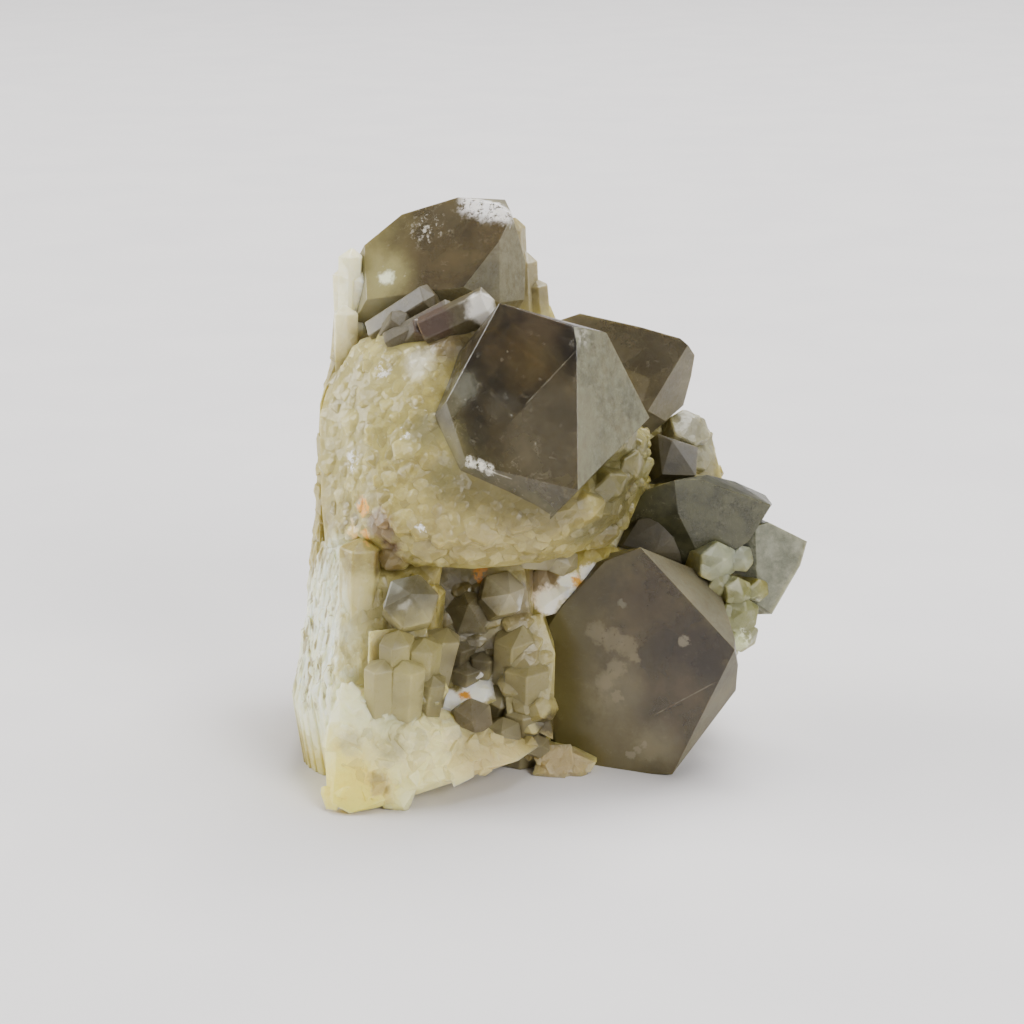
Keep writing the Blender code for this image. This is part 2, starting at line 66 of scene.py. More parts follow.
QUARTZ_IOR = 1.544
CLOUD_SHARE = 0.14

# The layout sheet's middle in its own steps, a step in millimetres, and how many millimetres in
# front of the masses a field's sight lines start.
SHEET_MIDDLE = 512.0
SHEET_STEP = 0.088
SIGHT_START = 80.0

# Lengths in metres, angles in radians; shares and ranges of a radius, a spacing or a reach.
EDGE_BEVEL = 0.03 * MM
WELD_GAP = 0.02 * MM
FLAT_ANGLE = math.radians(4.0)
CAVITY_SHARE = 0.985
SAME_FACET = 0.93
BROAD_GAIN = 1.2
STEEP_TIP = 0.7
LOW_TIP = 0.4
COLUMN_SOFTNESS = 0.05
BASE_TAPER = 0.95
ROW_SHARE = 0.87
FACING_LIMIT = -0.15
EDGE_ROWS = 4.0
EDGE_LUCK = 0.6
LOWEST_TIP = 1.0 * MM
GROWTH_SHIFT = 0.3
GROWTH_SIZES = (0.75, 1.25)
APEX_SHIFT = 0.3
SQUASH = (0.75, 1.0)
CHUNK_CORNERS = 13
CHUNK_REACH = (0.8, 1.1)
GROUND_SIZE = (0.12, 0.12, 0.006)

STEEP = ("round", "brown", "needle", "back")
BROAD = ("near", "mid", "low", "side", "pale", "broad", "hollow")
CLEAR_BUDS = (
    "hex_end", "round_end", "brown_bud", "olive_bud", "gray", "hollow", "saddle", "near",
    "mid", "low", "side", "broad", "pale",
)

BMesh = bmesh.types.BMesh
Colour = tuple[float, float, float]
Pick = tuple[float, ...]

MIDDLE: Colour = (0.5, 0.5, 0.5)


def tone(red: int, green: int, blue: int) -> Colour:
    """A screen colour, 0 to 255 a channel, as linear light.

    Args:
        red: The red channel.
        green: The green channel.
        blue: The blue channel.

    Returns:
        The colour, 0 to 1 a channel.
    """
    return tuple(
        part / 12.92 if part <= 0.04045 else ((part + 0.055) / 1.055) ** 2.4
        for part in (red / 255.0, green / 255.0, blue / 255.0)
    )


class Habit(Enum):
    """How a small growth of a field is shaped."""

    CRYSTAL = "crystal"
    FIBRE = "fibre"
    SCALE = "scale"
    ROCK = "rock"


# A growth's pyramid height and the softness of its edges, over its radius.
SHAPES = {Habit.CRYSTAL: (1.0, 0.11), Habit.FIBRE: (2.2, 0.10), Habit.SCALE: (0.32, 0.10)}


@dataclass(frozen=True)
class Drawing:
    """The drawing of the display side, and how its points stand in the part's frame."""

    centre: Pick = (-3.5, -6.1, 22.8)
    distance: float = 220.0
    pitch: float = 16.4

    @property
    def up(self) -> Vector:
        """The drawing's upward direction."""
        lean = math.radians(self.pitch)
        return Vector((0.0, math.sin(lean), math.cos(lean)))

    @property
    def away(self) -> Vector:
        """The direction from the viewer into the drawing."""
        lean = math.radians(self.pitch)
        return Vector((0.0, math.cos(lean), -math.sin(lean)))

    @property
    def eye(self) -> Vector:
        """Where the viewer stands."""
        return Vector(self.centre) * MM - self.away * (self.distance * MM)

    def point(self, across: float, up: float, depth: float = 0.0) -> Vector:
        """Place a drawn corner in the part's frame.

        Args:
            across: Millimetres to the right of the drawing's centre.
            up: Millimetres above the drawing's centre.
            depth: Millimetres behind the drawing's plane.

        Returns:
            The corner, in metres.
        """
        reach = (self.distance + depth) * MM
        slide = (Vector((1.0, 0.0, 0.0)) * across + self.up * up) * (reach / self.distance)
        return self.eye + self.away * reach + slide

    def sheet(self, place: Vector) -> tuple[float, float]:
        """Where a point of the part is seen on the drawing, in millimetres.

        Args:
            place: The point, in metres.

        Returns:
            How far across and up from the drawing's centre it is seen.
        """
        sight = place - self.eye
        share = self.distance / sight.dot(self.away)
        return sight.x * share, sight.dot(self.up) * share

    def direction(self, faces: Pick) -> Vector:
        """Turn an (across, up, towards the viewer) direction into the part's frame."""
        along = Vector((1.0, 0.0, 0.0)) * faces[0] + self.up * faces[1] - self.away * faces[2]
        return along.normalized()

    def on_facet(self, across: float, up: float, through: Vector, normal: Vector) -> Vector:
        """Place a drawn corner on a facet.

        Args:
            across: Millimetres to the right of the drawing's centre.
            up: Millimetres above the drawing's centre.
            through: Any point of the facet, in metres.
            normal: The direction that the facet faces.

        Returns:
            The corner, in metres.
        """
        sight = self.point(across, up) - self.eye
        share = normal.dot(through - self.eye) / normal.dot(sight)
        return self.eye + sight * share


DRAWING = Drawing()


def math_operator(kind: str, swapped: bool = False) -> Callable[["Socket", "Value"], "Socket"]:
    """One of Python's operators for a Socket, as a Math node.

    Args:
        kind: The node's operation.
        swapped: True when the socket stands on the operator's right.

    Returns:
        The method.
    """

    def operate(self: "Socket", other: "Value") -> "Socket":
        """Add the Math node."""
        pair = (other, self) if swapped else (self, other)
        return self.bench.out("ShaderNodeMath", {"operation": kind}, dict(enumerate(pair)))

    return operate


class Socket:
    """A value or a colour in a material, with Python arithmetic on values."""

    __add__ = __radd__ = math_operator("ADD")
    __mul__ = __rmul__ = math_operator("MULTIPLY")
    __sub__ = math_operator("SUBTRACT")
    __rsub__ = math_operator("SUBTRACT", True)

    def __init__(self, bench: "Bench", plug: bpy.types.NodeSocket) -> None:
        """Wrap one output socket of the bench's tree."""
        self.bench = bench
        self.plug = plug

    def clamped(self) -> "Socket":
        """The value kept between 0 and 1."""
        settings = {"operation": "ADD", "use_clamp": True}
        return self.bench.out("ShaderNodeMath", settings, {0: self, 1: 0.0})

    def ramped(self, low: float, high: float) -> "Socket":
        """A smooth step from 0 at low to 1 at high.

        Args:
            low: Where the step starts.
            high: Where it ends; below low, the step falls instead.

        Returns:
            The stepped value.
        """
        settings = {"interpolation_type": "SMOOTHSTEP"}
        inputs = {"Value": self, "From Min": low, "From Max": high}
        return self.bench.out("ShaderNodeMapRange", settings, inputs)


Value = Socket | float | Pick
Inputs = dict[int | str, Value]


class Bench:
    """One material's nodes, and the only way they are made."""

    def __init__(self, name: str) -> None:
        """Start an empty material and its position in millimetres.

        Args:
            name: The material's name.
        """
        self.material = bpy.data.materials.new(name)
        self.material.use_nodes = True
        self.tree = self.material.node_tree
        self.tree.nodes.clear()
        self.place = self.scaled(self.out("ShaderNodeTexCoord", {}, {}, "Object"), 1.0 / MM)

    def node(self, kind: str, settings: dict[str, object], inputs: Inputs) -> bpy.types.Node:
        """Make one node.

        Args:
            kind: The node's type.
            settings: Attributes that are set before its sockets, such as an operation.
            inputs: Values or links by socket name or number.

        Returns:
            The new node.
        """
        made = self.tree.nodes.new(kind)
        for name, value in settings.items():
            setattr(made, name, value)
        for key, value in inputs.items():
            plug = made.inputs[key]
            if isinstance(value, Socket):
                self.tree.links.new(value.plug, plug)
            elif isinstance(value, tuple) and len(value) == 3 and plug.type == "RGBA":
                plug.default_value = (*value, 1.0)
            else:
                plug.default_value = value
        return made

    def out(
        self, kind: str, settings: dict[str, object], inputs: Inputs, output: int | str = 0
    ) -> Socket:
        """Make one node and wrap one of its outputs.

        Args:
            kind: The node's type.
            settings: Attributes that are set before its sockets.
            inputs: Values or links by socket name or number.
            output: The output's name or number.

        Returns:
            The wrapped output.
        """
        return Socket(self, self.node(kind, settings, inputs).outputs[output])

    def vector(self, operation: str, first: Value, second: Value, output: int | str = 0) -> Socket:
        """Vector arithmetic on two vectors or colours."""
        return self.out("ShaderNodeVectorMath", {"operation": operation}, {0: first, 1: second}, output)

    def scaled(self, vector: Socket, scale: Value) -> Socket:
        """A vector made longer or shorter."""
        return self.out("ShaderNodeVectorMath", {"operation": "SCALE"}, {0: vector, "Scale": scale})

    def shader(self, inputs: Inputs) -> Socket:
        """A surface shader."""
        return self.out("ShaderNodeBsdfPrincipled", {}, inputs)

    def noise(
        self, scale: float, detail: float, rough: float, place: Socket | None = None,
        distortion: float = 0.0,
    ) -> Socket:
        """Cloudy values about 0.5.

        Args:
            scale: Features to the millimetre.
            detail: How many finer layers it has.
            rough: How strong the finer layers are.
            place: The position it follows; the bench's own without one.
            distortion: How far the pattern is stirred.

        Returns:
            The values.
        """
        inputs = {
            "Vector": place or self.place, "Scale": scale, "Detail": detail, "Roughness": rough,
            "Distortion": distortion,
        }
        return self.out("ShaderNodeTexNoise", {}, inputs, "Fac")

    def cells(self, scale: float, output: str = "Distance") -> Socket:
        """A pattern of cells, with scale cells to the millimetre."""
        return self.out("ShaderNodeTexVoronoi", {}, {"Vector": self.place, "Scale": scale}, output)

    def stretched(self, along: Pick) -> Socket:
        """The position with each axis scaled, for patterns that run one way."""
        return self.vector("MULTIPLY", self.place, along)

    def warped(self, reach: float, scale: float) -> Socket:
        """The position pushed about, for ragged outlines.

        Args:
            reach: The furthest push, in millimetres.
            scale: Changes of direction to the millimetre.

        Returns:
            The position.
        """
        inputs = {"Vector": self.place, "Scale": scale, "Detail": 4.0, "Roughness": 0.65}
        cloud = self.out("ShaderNodeTexNoise", {}, inputs, "Color")
        middle = self.vector("SUBTRACT", cloud, MIDDLE)
        return self.vector("ADD", self.place, self.scaled(middle, 2.0 * reach))

    def near(self, place: Socket, centre: Vector, radius: float, edge: float) -> Socket:
        """A mask that is 1 about a point.

        Args:
            place: The position that is tested, in millimetres.
            centre: The point, in metres.
            radius: Where the mask has fallen to half, in millimetres.
            edge: The width of its fall as a share of the radius.

        Returns:
            The mask.
        """
        gap = self.vector("DISTANCE", place, tuple(centre / MM), "Value")
        return gap.ramped(radius * (1.0 + 0.5 * edge), radius * (1.0 - 0.5 * edge))

    def blend(self, mask: Value, first: Value, second: Value) -> Socket:
        """A colour that goes from first to second as the mask goes from 0 to 1."""
        settings = {"data_type": "RGBA", "clamp_factor": True}
        return self.out("ShaderNodeMix", settings, {0: mask, 6: first, 7: second}, 2)

    def painted(self, name: str) -> Socket:
        """A value that is painted on the mesh's faces."""
        return self.out("ShaderNodeAttribute", {"attribute_name": name}, {}, "Fac")

    def leaning(self, scale: float, tilt: Value, below: Socket | None = None) -> Socket:
        """A normal that leans its own way over each cell of a pattern, as small facets do.

        Args:
            scale: Cells to the millimetre.
            tilt: How far the facets lean.
            below: The normal that leans; the surface's own without one.

        Returns:
            The normal.
        """
        middle = self.vector("SUBTRACT", self.cells(scale, "Color"), MIDDLE)
        faces = below or self.out("ShaderNodeNewGeometry", {}, {}, "Normal")
        total = self.vector("ADD", faces, self.scaled(middle, tilt))
        return self.out("ShaderNodeVectorMath", {"operation": "NORMALIZE"}, {0: total})

    def bump(
        self, height: Socket, reach: float, strength: float, normal: Socket | None = None
    ) -> Socket:
        """A bumped normal.

        Args:
            height: The relief.
            reach: Millimetres for a height of 1.
            strength: How strongly it shows.
            normal: The normal that it is laid over; the surface's own without one.

        Returns:
            The normal.
        """
        below = {} if normal is None else {"Normal": normal}
        inputs = {"Strength": strength, "Distance": reach * MM, "Height": height} | below
        return self.out("ShaderNodeBump", {}, inputs)

    def side(self, start: Vector, end: Vector) -> Socket:
        """Millimetres to one side of the line that is seen from start to end.

        Args:
            start: Where the line starts, in metres.
            end: Where it ends, in metres.

        Returns:
            The distance, negative on the other side.
        """
        across = (start - DRAWING.eye).cross(end - DRAWING.eye).normalized()
        level = self.vector("DOT_PRODUCT", self.place, tuple(across), "Value")
        return level - start.dot(across) / MM

    def finish(self, surface: Socket, volume: Socket | None = None) -> bpy.types.Material:
        """Connect the material's output.

        Args:
            surface: The surface shader.
            volume: The shader of the inside, if light goes through it.

        Returns:
            The finished material.
        """
        inside = {} if volume is None else {"Volume": volume}
        self.node("ShaderNodeOutputMaterial", {}, {"Surface": surface} | inside)
        return self.material


@dataclass(frozen=True)
class Zone:
    """A stain, a bruise, a paler area, painted shade or a painted highlight about a point of the
    drawing.
    """

    across: float
    up: float
    radius: float
    colour: Colour
    edge: float = 0.6
    strength: float = 1.0
    broken: float = 0.0

    @classmethod
    def at(cls, u: float, v: float, radius: float, colour: Colour, *rest: float) -> "Zone":
        """A zone placed on the layout sheet, in steps to the right and down from its corner."""
        across, up = (u - SHEET_MIDDLE) * SHEET_STEP, (SHEET_MIDDLE - v) * SHEET_STEP
        return cls(across, up, radius, colour, *rest)

    def cover(self, place: Socket, tree: BVHTree) -> Socket:
        """A mask that is 1 over the zone's place on a surface."""
        return place.bench.near(place, on_surface(tree, self), self.radius, self.edge)

    def stain(self, place: Socket, tree: BVHTree, crumbs: Socket, fade: float) -> Socket:
        """The zone's mask at its own strength, crumbled where it is broken.

        Args:
            place: The position that is tested, in millimetres.
            tree: The surface that the zone lies on.
            crumbs: The pattern that a broken zone follows.
            fade: How softly the crumbs end.

        Returns:
            The mask.
        """
        mask = self.cover(place, tree) * self.strength
        if self.broken > 0.0:
            mask = mask * crumbs.ramped(self.broken, self.broken + fade)
        return mask


def zones(*rows: Sequence[object]) -> tuple[Zone, ...]:
    """Zones from rows of layout place, radius and screen colour, then any of their last values."""
    return tuple(Zone.at(u, v, radius, tone(*shade), *rest) for u, v, radius, shade, *rest in rows)


@dataclass(frozen=True)
class Step:
    """A low step across a facet, and the part of the facet on its far side."""

    start: Zone
    end: Zone
    past: Zone | None = None


def steps(*rows: Sequence[Sequence[object]]) -> tuple[Step, ...]:
    """Steps from rows of zones: both ends, and any part of the facet on the far side."""
    return tuple(Step(*zones(*row)) for row in rows)


@dataclass(frozen=True)
class Facet:
    """A facet of a large crystal: where it faces, its drawn corners and how frosted it is."""

    faces: Pick
    corners: tuple[Pick, ...] = ()
    shared: Pick | None = None
    frost: float = 0.2


@dataclass(frozen=True)
class SmokyQuartz:
    """Clear smoky quartz with soft veils inside, a paler root, frosted facets and painted shade and
    highlights.
    """

    dark: Colour = tone(84, 72, 48)
    pale: Colour = tone(120, 110, 82)
    root: Colour = tone(128, 122, 84)
    reach: float = 12.0
    frosted: Colour = tone(140, 141, 118)
    wisp: Colour = tone(186, 182, 160)
    smoke: Colour = (0.62, 0.55, 0.34)
    density: float = 150.0
    haze: float = 0.35
    veil_scale: float = 0.30
    wisps: float = 0.35
    roughness: float = 0.10
    clouds_and_painted_light: tuple[Zone, ...] = ()
    bruises_and_highlights: tuple[Zone, ...] = ()
    steps: tuple[Step, ...] = ()

    def material(self, name: str, tree: BVHTree, tip: Vector) -> bpy.types.Material:
        """Mix the see-through quartz with its own satin haze.

        Args:
            name: The material's name.
            tree: The crystal's surface, which the bruises are placed on.
            tip: The crystal's point, in metres; away from it the quartz turns milky.

        Returns:
            The material.
        """
        bench = Bench(name)
        frost = bench.painted("frost")
        veils = bench.noise(self.veil_scale, 6.0, 0.62).ramped(0.36, 0.70)
        pits = bench.noise(3.2, 4.0, 0.68)
        smears = bench.noise(0.9, 6.0, 0.7)
        etched = bench.noise(1.3, 8.0, 0.72)
        marks = self.marks(bench, smears)
        far = 1.0 - bench.near(bench.warped(2.0, 0.25), tip, self.reach, 0.6)
        body = bench.blend(veils, self.dark, self.pale)
        body = bench.blend(far * 0.85, body, self.root)
        body, filled = self.lay_clouds_and_painted_light(body, tree)
        body, filled = self.stepped(body, filled, tree, smears)
        body = bench.blend(marks, body, self.wisp)
        frosting = (frost * (etched.ramped(0.3, 0.7) * 0.7 + 0.35)).clamped()
        body = bench.blend(frosting, body, self.frosted)
        share = veils * 0.15 + far * 0.4 + frost * (pits * 0.3 + 0.45) + marks + self.haze
        body, share = self.lay_bruises_and_highlights(body, (share + filled).clamped(), tree)
        rough = (frost * 0.35 + pits * 0.14 + marks * 0.3 + self.roughness).clamped()
        height = pits * (frost * 0.5 + 0.08) + etched * frost + smears * 0.2
        shared = {"IOR": QUARTZ_IOR, "Normal": bench.bump(height, 0.16, 0.5)}
        clear = {"Base Color": (1.0, 1.0, 1.0), "Roughness": rough, "Transmission Weight": 1.0}
        satin = {
            "Base Color": body,
            "Roughness": (rough + 0.15).clamped(),
            "Subsurface Weight": 0.4,
            "Subsurface Radius": (1.0, 0.9, 0.6),
            "Subsurface Scale": 1.2 * MM,
        }
        through, over = bench.shader(clear | shared), bench.shader(satin | shared)
        mixed = bench.out("ShaderNodeMixShader", {}, {0: share, 1: through, 2: over})
        tint = {"Color": self.smoke, "Density": self.density}
        return bench.finish(mixed, bench.out("ShaderNodeVolumeAbsorption", {}, tint))

    def marks(self, bench: Bench, smears: Socket) -> Socket:
        """Fine threads and specks in the quartz, thick where the smears are.

        Args:
            bench: The material's bench.
            smears: The pattern that they follow.

        Returns:
            Their mask.
        """
        lines = bench.noise(0.45, 7.0, 0.68, distortion=0.8)
        threads = lines.ramped(0.485, 0.50) * lines.ramped(0.515, 0.50) * smears.ramped(0.5, 0.62)
        specks = bench.cells(1.1).ramped(0.16, 0.08) * smears.ramped(0.52, 0.60)
        return ((threads + specks) * self.wisps).clamped()

    def lay_clouds_and_painted_light(self, body: Socket, tree: BVHTree) -> tuple[Socket, Value]:
        """Lay the soft clouds and the painted shade and glow zones over the body colour.

        Args:
            body: The colour so far.
            tree: The crystal's surface.

        Returns:
            The colour, and how far the clouds fill the clear quartz.
        """
        bench = body.bench
        filled: Value = 0.0
        for zone in self.clouds_and_painted_light:
            mask = zone.cover(bench.warped(1.6, 0.6), tree)
            body = bench.blend(mask * zone.strength, body, zone.colour)
            filled = mask * (zone.strength * CLOUD_SHARE) + filled
        return body, filled

    def stepped(
        self, body: Socket, filled: Value, tree: BVHTree, smears: Socket
    ) -> tuple[Socket, Value]:
        """Draw the steps' edges and tint the facet past them.

        Args:
            body: The colour so far.
            filled: How far the clear quartz is filled so far.
            tree: The crystal's surface.
            smears: The pattern that breaks the edges up.

        Returns:
            The colour and the filling.
        """
        bench = body.bench
        for step in self.steps:
            start, end = on_surface(tree, step.start), on_surface(tree, step.end)
            side = bench.side(start, end)
            reach = (end - start).length / MM * 0.5
            span = bench.near(bench.place, (start + end) * 0.5, reach, 0.3)
            edge = side.ramped(-0.09, 0.0) * side.ramped(0.09, 0.0) * smears.ramped(0.3, 0.6)
            if step.past is not None:
                area = step.past.cover(bench.place, tree)
                mask = side.ramped(0.0, -0.15) * area * step.past.strength
                body = bench.blend(mask, body, step.past.colour)
                filled = mask * CLOUD_SHARE + filled
            body = bench.blend(edge * span * 0.6, body, step.start.colour)
            filled = edge * span * 0.3 + filled
        return body, filled

    def lay_bruises_and_highlights(self, body: Socket, share: Socket, tree: BVHTree) -> tuple[Socket, Socket]:
        """Lay the white bruises and the painted highlights over everything else.

        Args:
            body: The colour so far.
            share: How far the satin haze hides the clear quartz.
            tree: The crystal's surface.

        Returns:
            The colour and the share of haze.
        """
        if not self.bruises_and_highlights:
            return body, share
        bench = body.bench
        ragged = bench.warped(0.7, 1.6)
        chips = bench.noise(1.5, 6.0, 0.75)
        for zone in self.bruises_and_highlights:
            mask = zone.stain(ragged, tree, chips, 0.08)
            body = bench.blend(mask, body, zone.colour)
            share = (share + mask).clamped()
        return body, share


@dataclass(frozen=True)
class MilkyQuartz:
    """Milky translucent quartz: sugary crystals, cream rock, iron stains, white breaks, painted shade
    and painted glints.
    """

    ground: Colour = tone(180, 167, 94)
    shade: Colour = tone(144, 130, 66)
    light: Colour = tone(218, 208, 150)
    deep: Colour = tone(112, 99, 56)
    roughness: float = 0.22
    zones: tuple[Zone, ...] = ()
    streaked: tuple[Zone, ...] = ()

    def material(self, name: str, tree: BVHTree) -> bpy.types.Material:
        """Paint the zones over mottled milky quartz.

        Args:
            name: The material's name.
            tree: The mass's surface, which the zones are placed on.

        Returns:
            The material.
        """
        bench = Bench(name)
        grain = bench.painted("grain")
        rock = bench.painted("rock")
        clouds = bench.noise(0.30, 6.0, 0.65)
        grains = bench.noise(2.2, 5.0, 0.65)
        lumps = bench.noise(0.8, 6.0, 0.6)
        body = bench.blend(clouds.ramped(0.36, 0.64), self.shade, self.ground)
        body = bench.blend(grain.ramped(0.45, 0.0) * 0.42, body, self.deep)
        body = bench.blend(grain.ramped(0.72, 1.0) * 0.42, body, self.light)
        body = bench.blend(grains.ramped(0.56, 0.74) * 0.35, body, self.light)
        ragged = bench.warped(1.1, 0.8)
        for zone in self.zones:
            body = bench.blend(zone.stain(ragged, tree, grains, 0.1), body, zone.colour)
        ribs = bench.noise(1.4, 4.0, 0.6, bench.stretched((1.0, 1.0, 0.14)))
        for zone in self.streaked:
            mask = zone.stain(ragged, tree, grains, 0.1)
            body = bench.blend(mask * ribs.ramped(0.50, 0.60), body, zone.colour)
            body = bench.blend(mask * ribs.ramped(0.48, 0.40), body, self.shade)
        body = bench.blend(grain.ramped(0.5, 0.0) * 0.22, body, self.deep)
        rough = (grains * 0.3 + rock * 0.12 + self.roughness).clamped()
        relief = lumps * (rock * 2.4 + 0.5) + grains * (rock * 0.4 + 0.4)
        lean = 0.55 - rock * 0.3
        normal = bench.leaning(0.8, lean)
        normal = bench.leaning(2.1, lean * 0.4, normal)
        normal = bench.bump(relief, 0.35, 0.5, normal)
        milk = {
            "Base Color": body,
            "Roughness": rough,
            "IOR": QUARTZ_IOR,
            "Subsurface Weight": 0.85,
            "Subsurface Radius": (1.0, 0.92, 0.6),
            "Subsurface Scale": 1.5 * MM,
            "Coat Weight": 0.2,
            "Coat Roughness": 0.2,
            "Normal": normal,
        }
        return bench.finish(bench.shader(milk))


@dataclass(frozen=True)
class Crystal:
    """A large crystal: drawn facets, far corners, the way it points and its finish."""

    name: str
    tip: Pick
    facets: tuple[Facet, ...]
    far: tuple[Pick, ...]
    axis: Pick
    length: float
    clear: float
    finish: SmokyQuartz
    frost: float = 0.15

    def points(self, length: float) -> list[Vector]:
        """Corners of the crystal with its prism swept back.

        Args:
            length: How far the prism runs back, in millimetres.

        Returns:
            The corners, in metres.
        """
        tip = DRAWING.point(*self.tip)
        first = DRAWING.direction(self.facets[0].faces) if self.facets else None
        points = [tip]
        for facet in self.facets:
            normal = DRAWING.direction(facet.faces)
            through = tip
            if facet.shared is not None:
                through = DRAWING.on_facet(*facet.shared, tip, first)
            points += [DRAWING.on_facet(*corner, through, normal) for corner in facet.corners]
        points += [DRAWING.point(*corner) for corner in self.far]
        back = DRAWING.direction(self.axis) * (length * MM)
        return points + [point - back for point in points]

    def solid(self) -> BMesh:
        """The crystal with softened edges, and its frosting painted on its faces.

        Returns:
            The closed mesh.
        """
        bm = hull_bmesh(self.points(self.length))
        merge_flat(bm)
        frost = bm.faces.layers.float.new("frost")
        for face in bm.faces:
            face[frost] = self.frost_of(face.normal)
        soften(bm, bm.edges[:], EDGE_BEVEL)
        return bm

    def cavity(self) -> BMesh:
        """The room that the clear part takes in the mass, a little inside its faces.

        Returns:
            The closed mesh.
        """
        points = self.points(self.clear)
        middle = sum(points, Vector()) / len(points)
        return hull_bmesh([middle + (point - middle) * CAVITY_SHARE for point in points])

    def frost_of(self, normal: Vector) -> float:
        """The frosting of the facet that faces most nearly as normal does.

        Args:
            normal: The way a face points.

        Returns:
            The facet's frosting, or the crystal's where none faces so.
        """
        matches = [(DRAWING.direction(facet.faces).dot(normal), facet) for facet in self.facets]
        match, best = max(matches, key=lambda pair: pair[0], default=(0.0, None))
        return self.frost if best is None or match < SAME_FACET else best.frost


@dataclass(frozen=True)
class Column:
    """A smaller hexagonal crystal: tip, direction, radius and length."""

    name: str
    tip: Pick
    axis: Pick
    radius: float
    length: float

    @property
    def is_clear(self) -> bool:
        """True for the see-through crystals; the rest are as milky as the mass."""
        return self.name.startswith(CLEAR_BUDS)

    def solid(self, rng: random.Random) -> BMesh:
        """Make the crystal.

        Args:
            rng: Random numbers for its unevenness.

        Returns:
            The closed mesh.
        """
        return column_bmesh(
            DRAWING.point(*self.tip),
            DRAWING.direction(self.axis),
            self.radius * (BROAD_GAIN if self.name.startswith(BROAD) else 1.0) * MM,
            (self.length - self.radius) * MM,
            (STEEP_TIP if self.name.startswith(STEEP) else LOW_TIP, COLUMN_SOFTNESS),
            rng,
            self.is_clear,
        )


@dataclass(frozen=True)
class Field:
    """A field of small growths over some masses, laid out as seen from one side."""

    name: str
    heading: float
    pitch: float
    across: Pick
    up: Pick
    spacing: float
    radius: float
    length: float
    proud: float
    lean: Pick
    pull: float
    hosts: tuple[str, ...]
    seed: int
    habit: Habit = Habit.CRYSTAL
    bare: tuple[Pick, ...] = ()

    def is_bare(self, place: Vector) -> bool:
        """True where the field leaves the surface smooth, in circles on the drawing."""
        across, up = DRAWING.sheet(place)
        return any(math.hypot(across - a, up - u) < radius for a, u, radius in self.bare)

    def grow(self, tree: BVHTree, owners: Sequence[str]) -> list[BMesh]:
        """Grow the field where sight from its side meets its hosts.

        Args:
            tree: The surface of all masses.
            owners: The mass of each of the surface's faces.

        Returns:
            One closed mesh for each growth.
        """
        rng = random.Random(self.seed)
        look = Matrix.Rotation(math.radians(self.heading), 3, "Z")
        gaze = look @ Matrix.Rotation(math.radians(-self.pitch), 3, "X") @ Vector((0.0, 1.0, 0.0))
        right = look @ Vector((1.0, 0.0, 0.0))
        rise = right.cross(gaze)
        lean = Vector(self.lean).normalized()
        step = self.spacing * ROW_SHARE
        growths = []
        luck = random.Random(self.seed + 1)
        rows = int((self.up[1] - self.up[0]) / step)
        stops = int((self.across[1] - self.across[0]) / self.spacing)
        for row in range(rows):
            for stop in range(stops):
                inside = min(row, stop, rows - 1 - row, stops - 1 - stop)
                skipped = self.heading != 0 and luck.random() > (inside + EDGE_LUCK) / EDGE_ROWS
                wobble = [rng.uniform(-GROWTH_SHIFT, GROWTH_SHIFT) for _ in range(2)]
                scale = rng.uniform(*GROWTH_SIZES)
                across = self.across[0] + (stop + 0.5 * (row % 2) + wobble[0]) * self.spacing
                up = self.up[0] + (row + wobble[1]) * step
                start = (right * across + rise * up - gaze * SIGHT_START) * MM
                hit, normal, index, _ = tree.ray_cast(start, gaze)
                if hit is None or owners[index] not in self.hosts or normal.dot(gaze) > FACING_LIMIT:
                    continue
                if skipped or self.is_bare(hit):
                    continue
                axis = (lean * self.pull + normal * (1.0 - self.pull)).normalized()
                tip = hit + axis * (self.proud * scale * MM)
                radius = self.radius * scale * MM
                if self.habit is Habit.ROCK:
                    grown = chunk_bmesh(tip, axis, radius, self.length * MM, rng)
                elif tip.z > LOWEST_TIP:
                    shape = SHAPES[self.habit]
                    grown = column_bmesh(tip, axis, radius, self.length * MM, shape, rng)
                else:
                    continue
                paint(grown, "grain", rng.random())
                paint(grown, "rock", 1.0 if self.habit is Habit.ROCK else 0.0)
                growths.append(grown)
        return growths


def hull_bmesh(points: Iterable[Vector]) -> BMesh:
    """The convex block around a set of corner points.

    Args:
        points: The corners, in metres; those inside the others are dropped.

    Returns:
        The closed mesh.
    """
    bm = bmesh.new()
    for point in points:
        bm.verts.new(point)
    hull = bmesh.ops.convex_hull(bm, input=bm.verts)
    spare = [item for item in hull["geom_interior"] if isinstance(item, bmesh.types.BMVert)]
    bmesh.ops.delete(bm, geom=spare, context="VERTS")
    bmesh.ops.remove_doubles(bm, verts=bm.verts, dist=WELD_GAP)
    bmesh.ops.recalc_face_normals(bm, faces=bm.faces)
    return bm


def paint(bm: BMesh, name: str, value: float) -> None:
    """Give every face of a mesh one painted value.

    Args:
        bm: The mesh.
        name: The face attribute's name.
        value: What each face gets.
    """
    layer = bm.faces.layers.float.get(name) or bm.faces.layers.float.new(name)
    for face in bm.faces:
        face[layer] = value


def merge_flat(bm: BMesh) -> None:
    """Join triangles that lie in one facet."""
    bmesh.ops.dissolve_limit(bm, angle_limit=FLAT_ANGLE, verts=bm.verts[:], edges=bm.edges[:])


def soften(bm: BMesh, edges: Sequence[bmesh.types.BMEdge], offset: float) -> None:
    """Cut edges back by a narrow flat.

    Args:
        bm: The mesh.
        edges: Its edges that are cut back.
        offset: How far from each edge, in metres.
    """
    bmesh.ops.bevel(
        bm, geom=edges, affect="EDGES", offset=offset, offset_type="OFFSET", segments=1,
        profile=0.5, material=-1,
    )


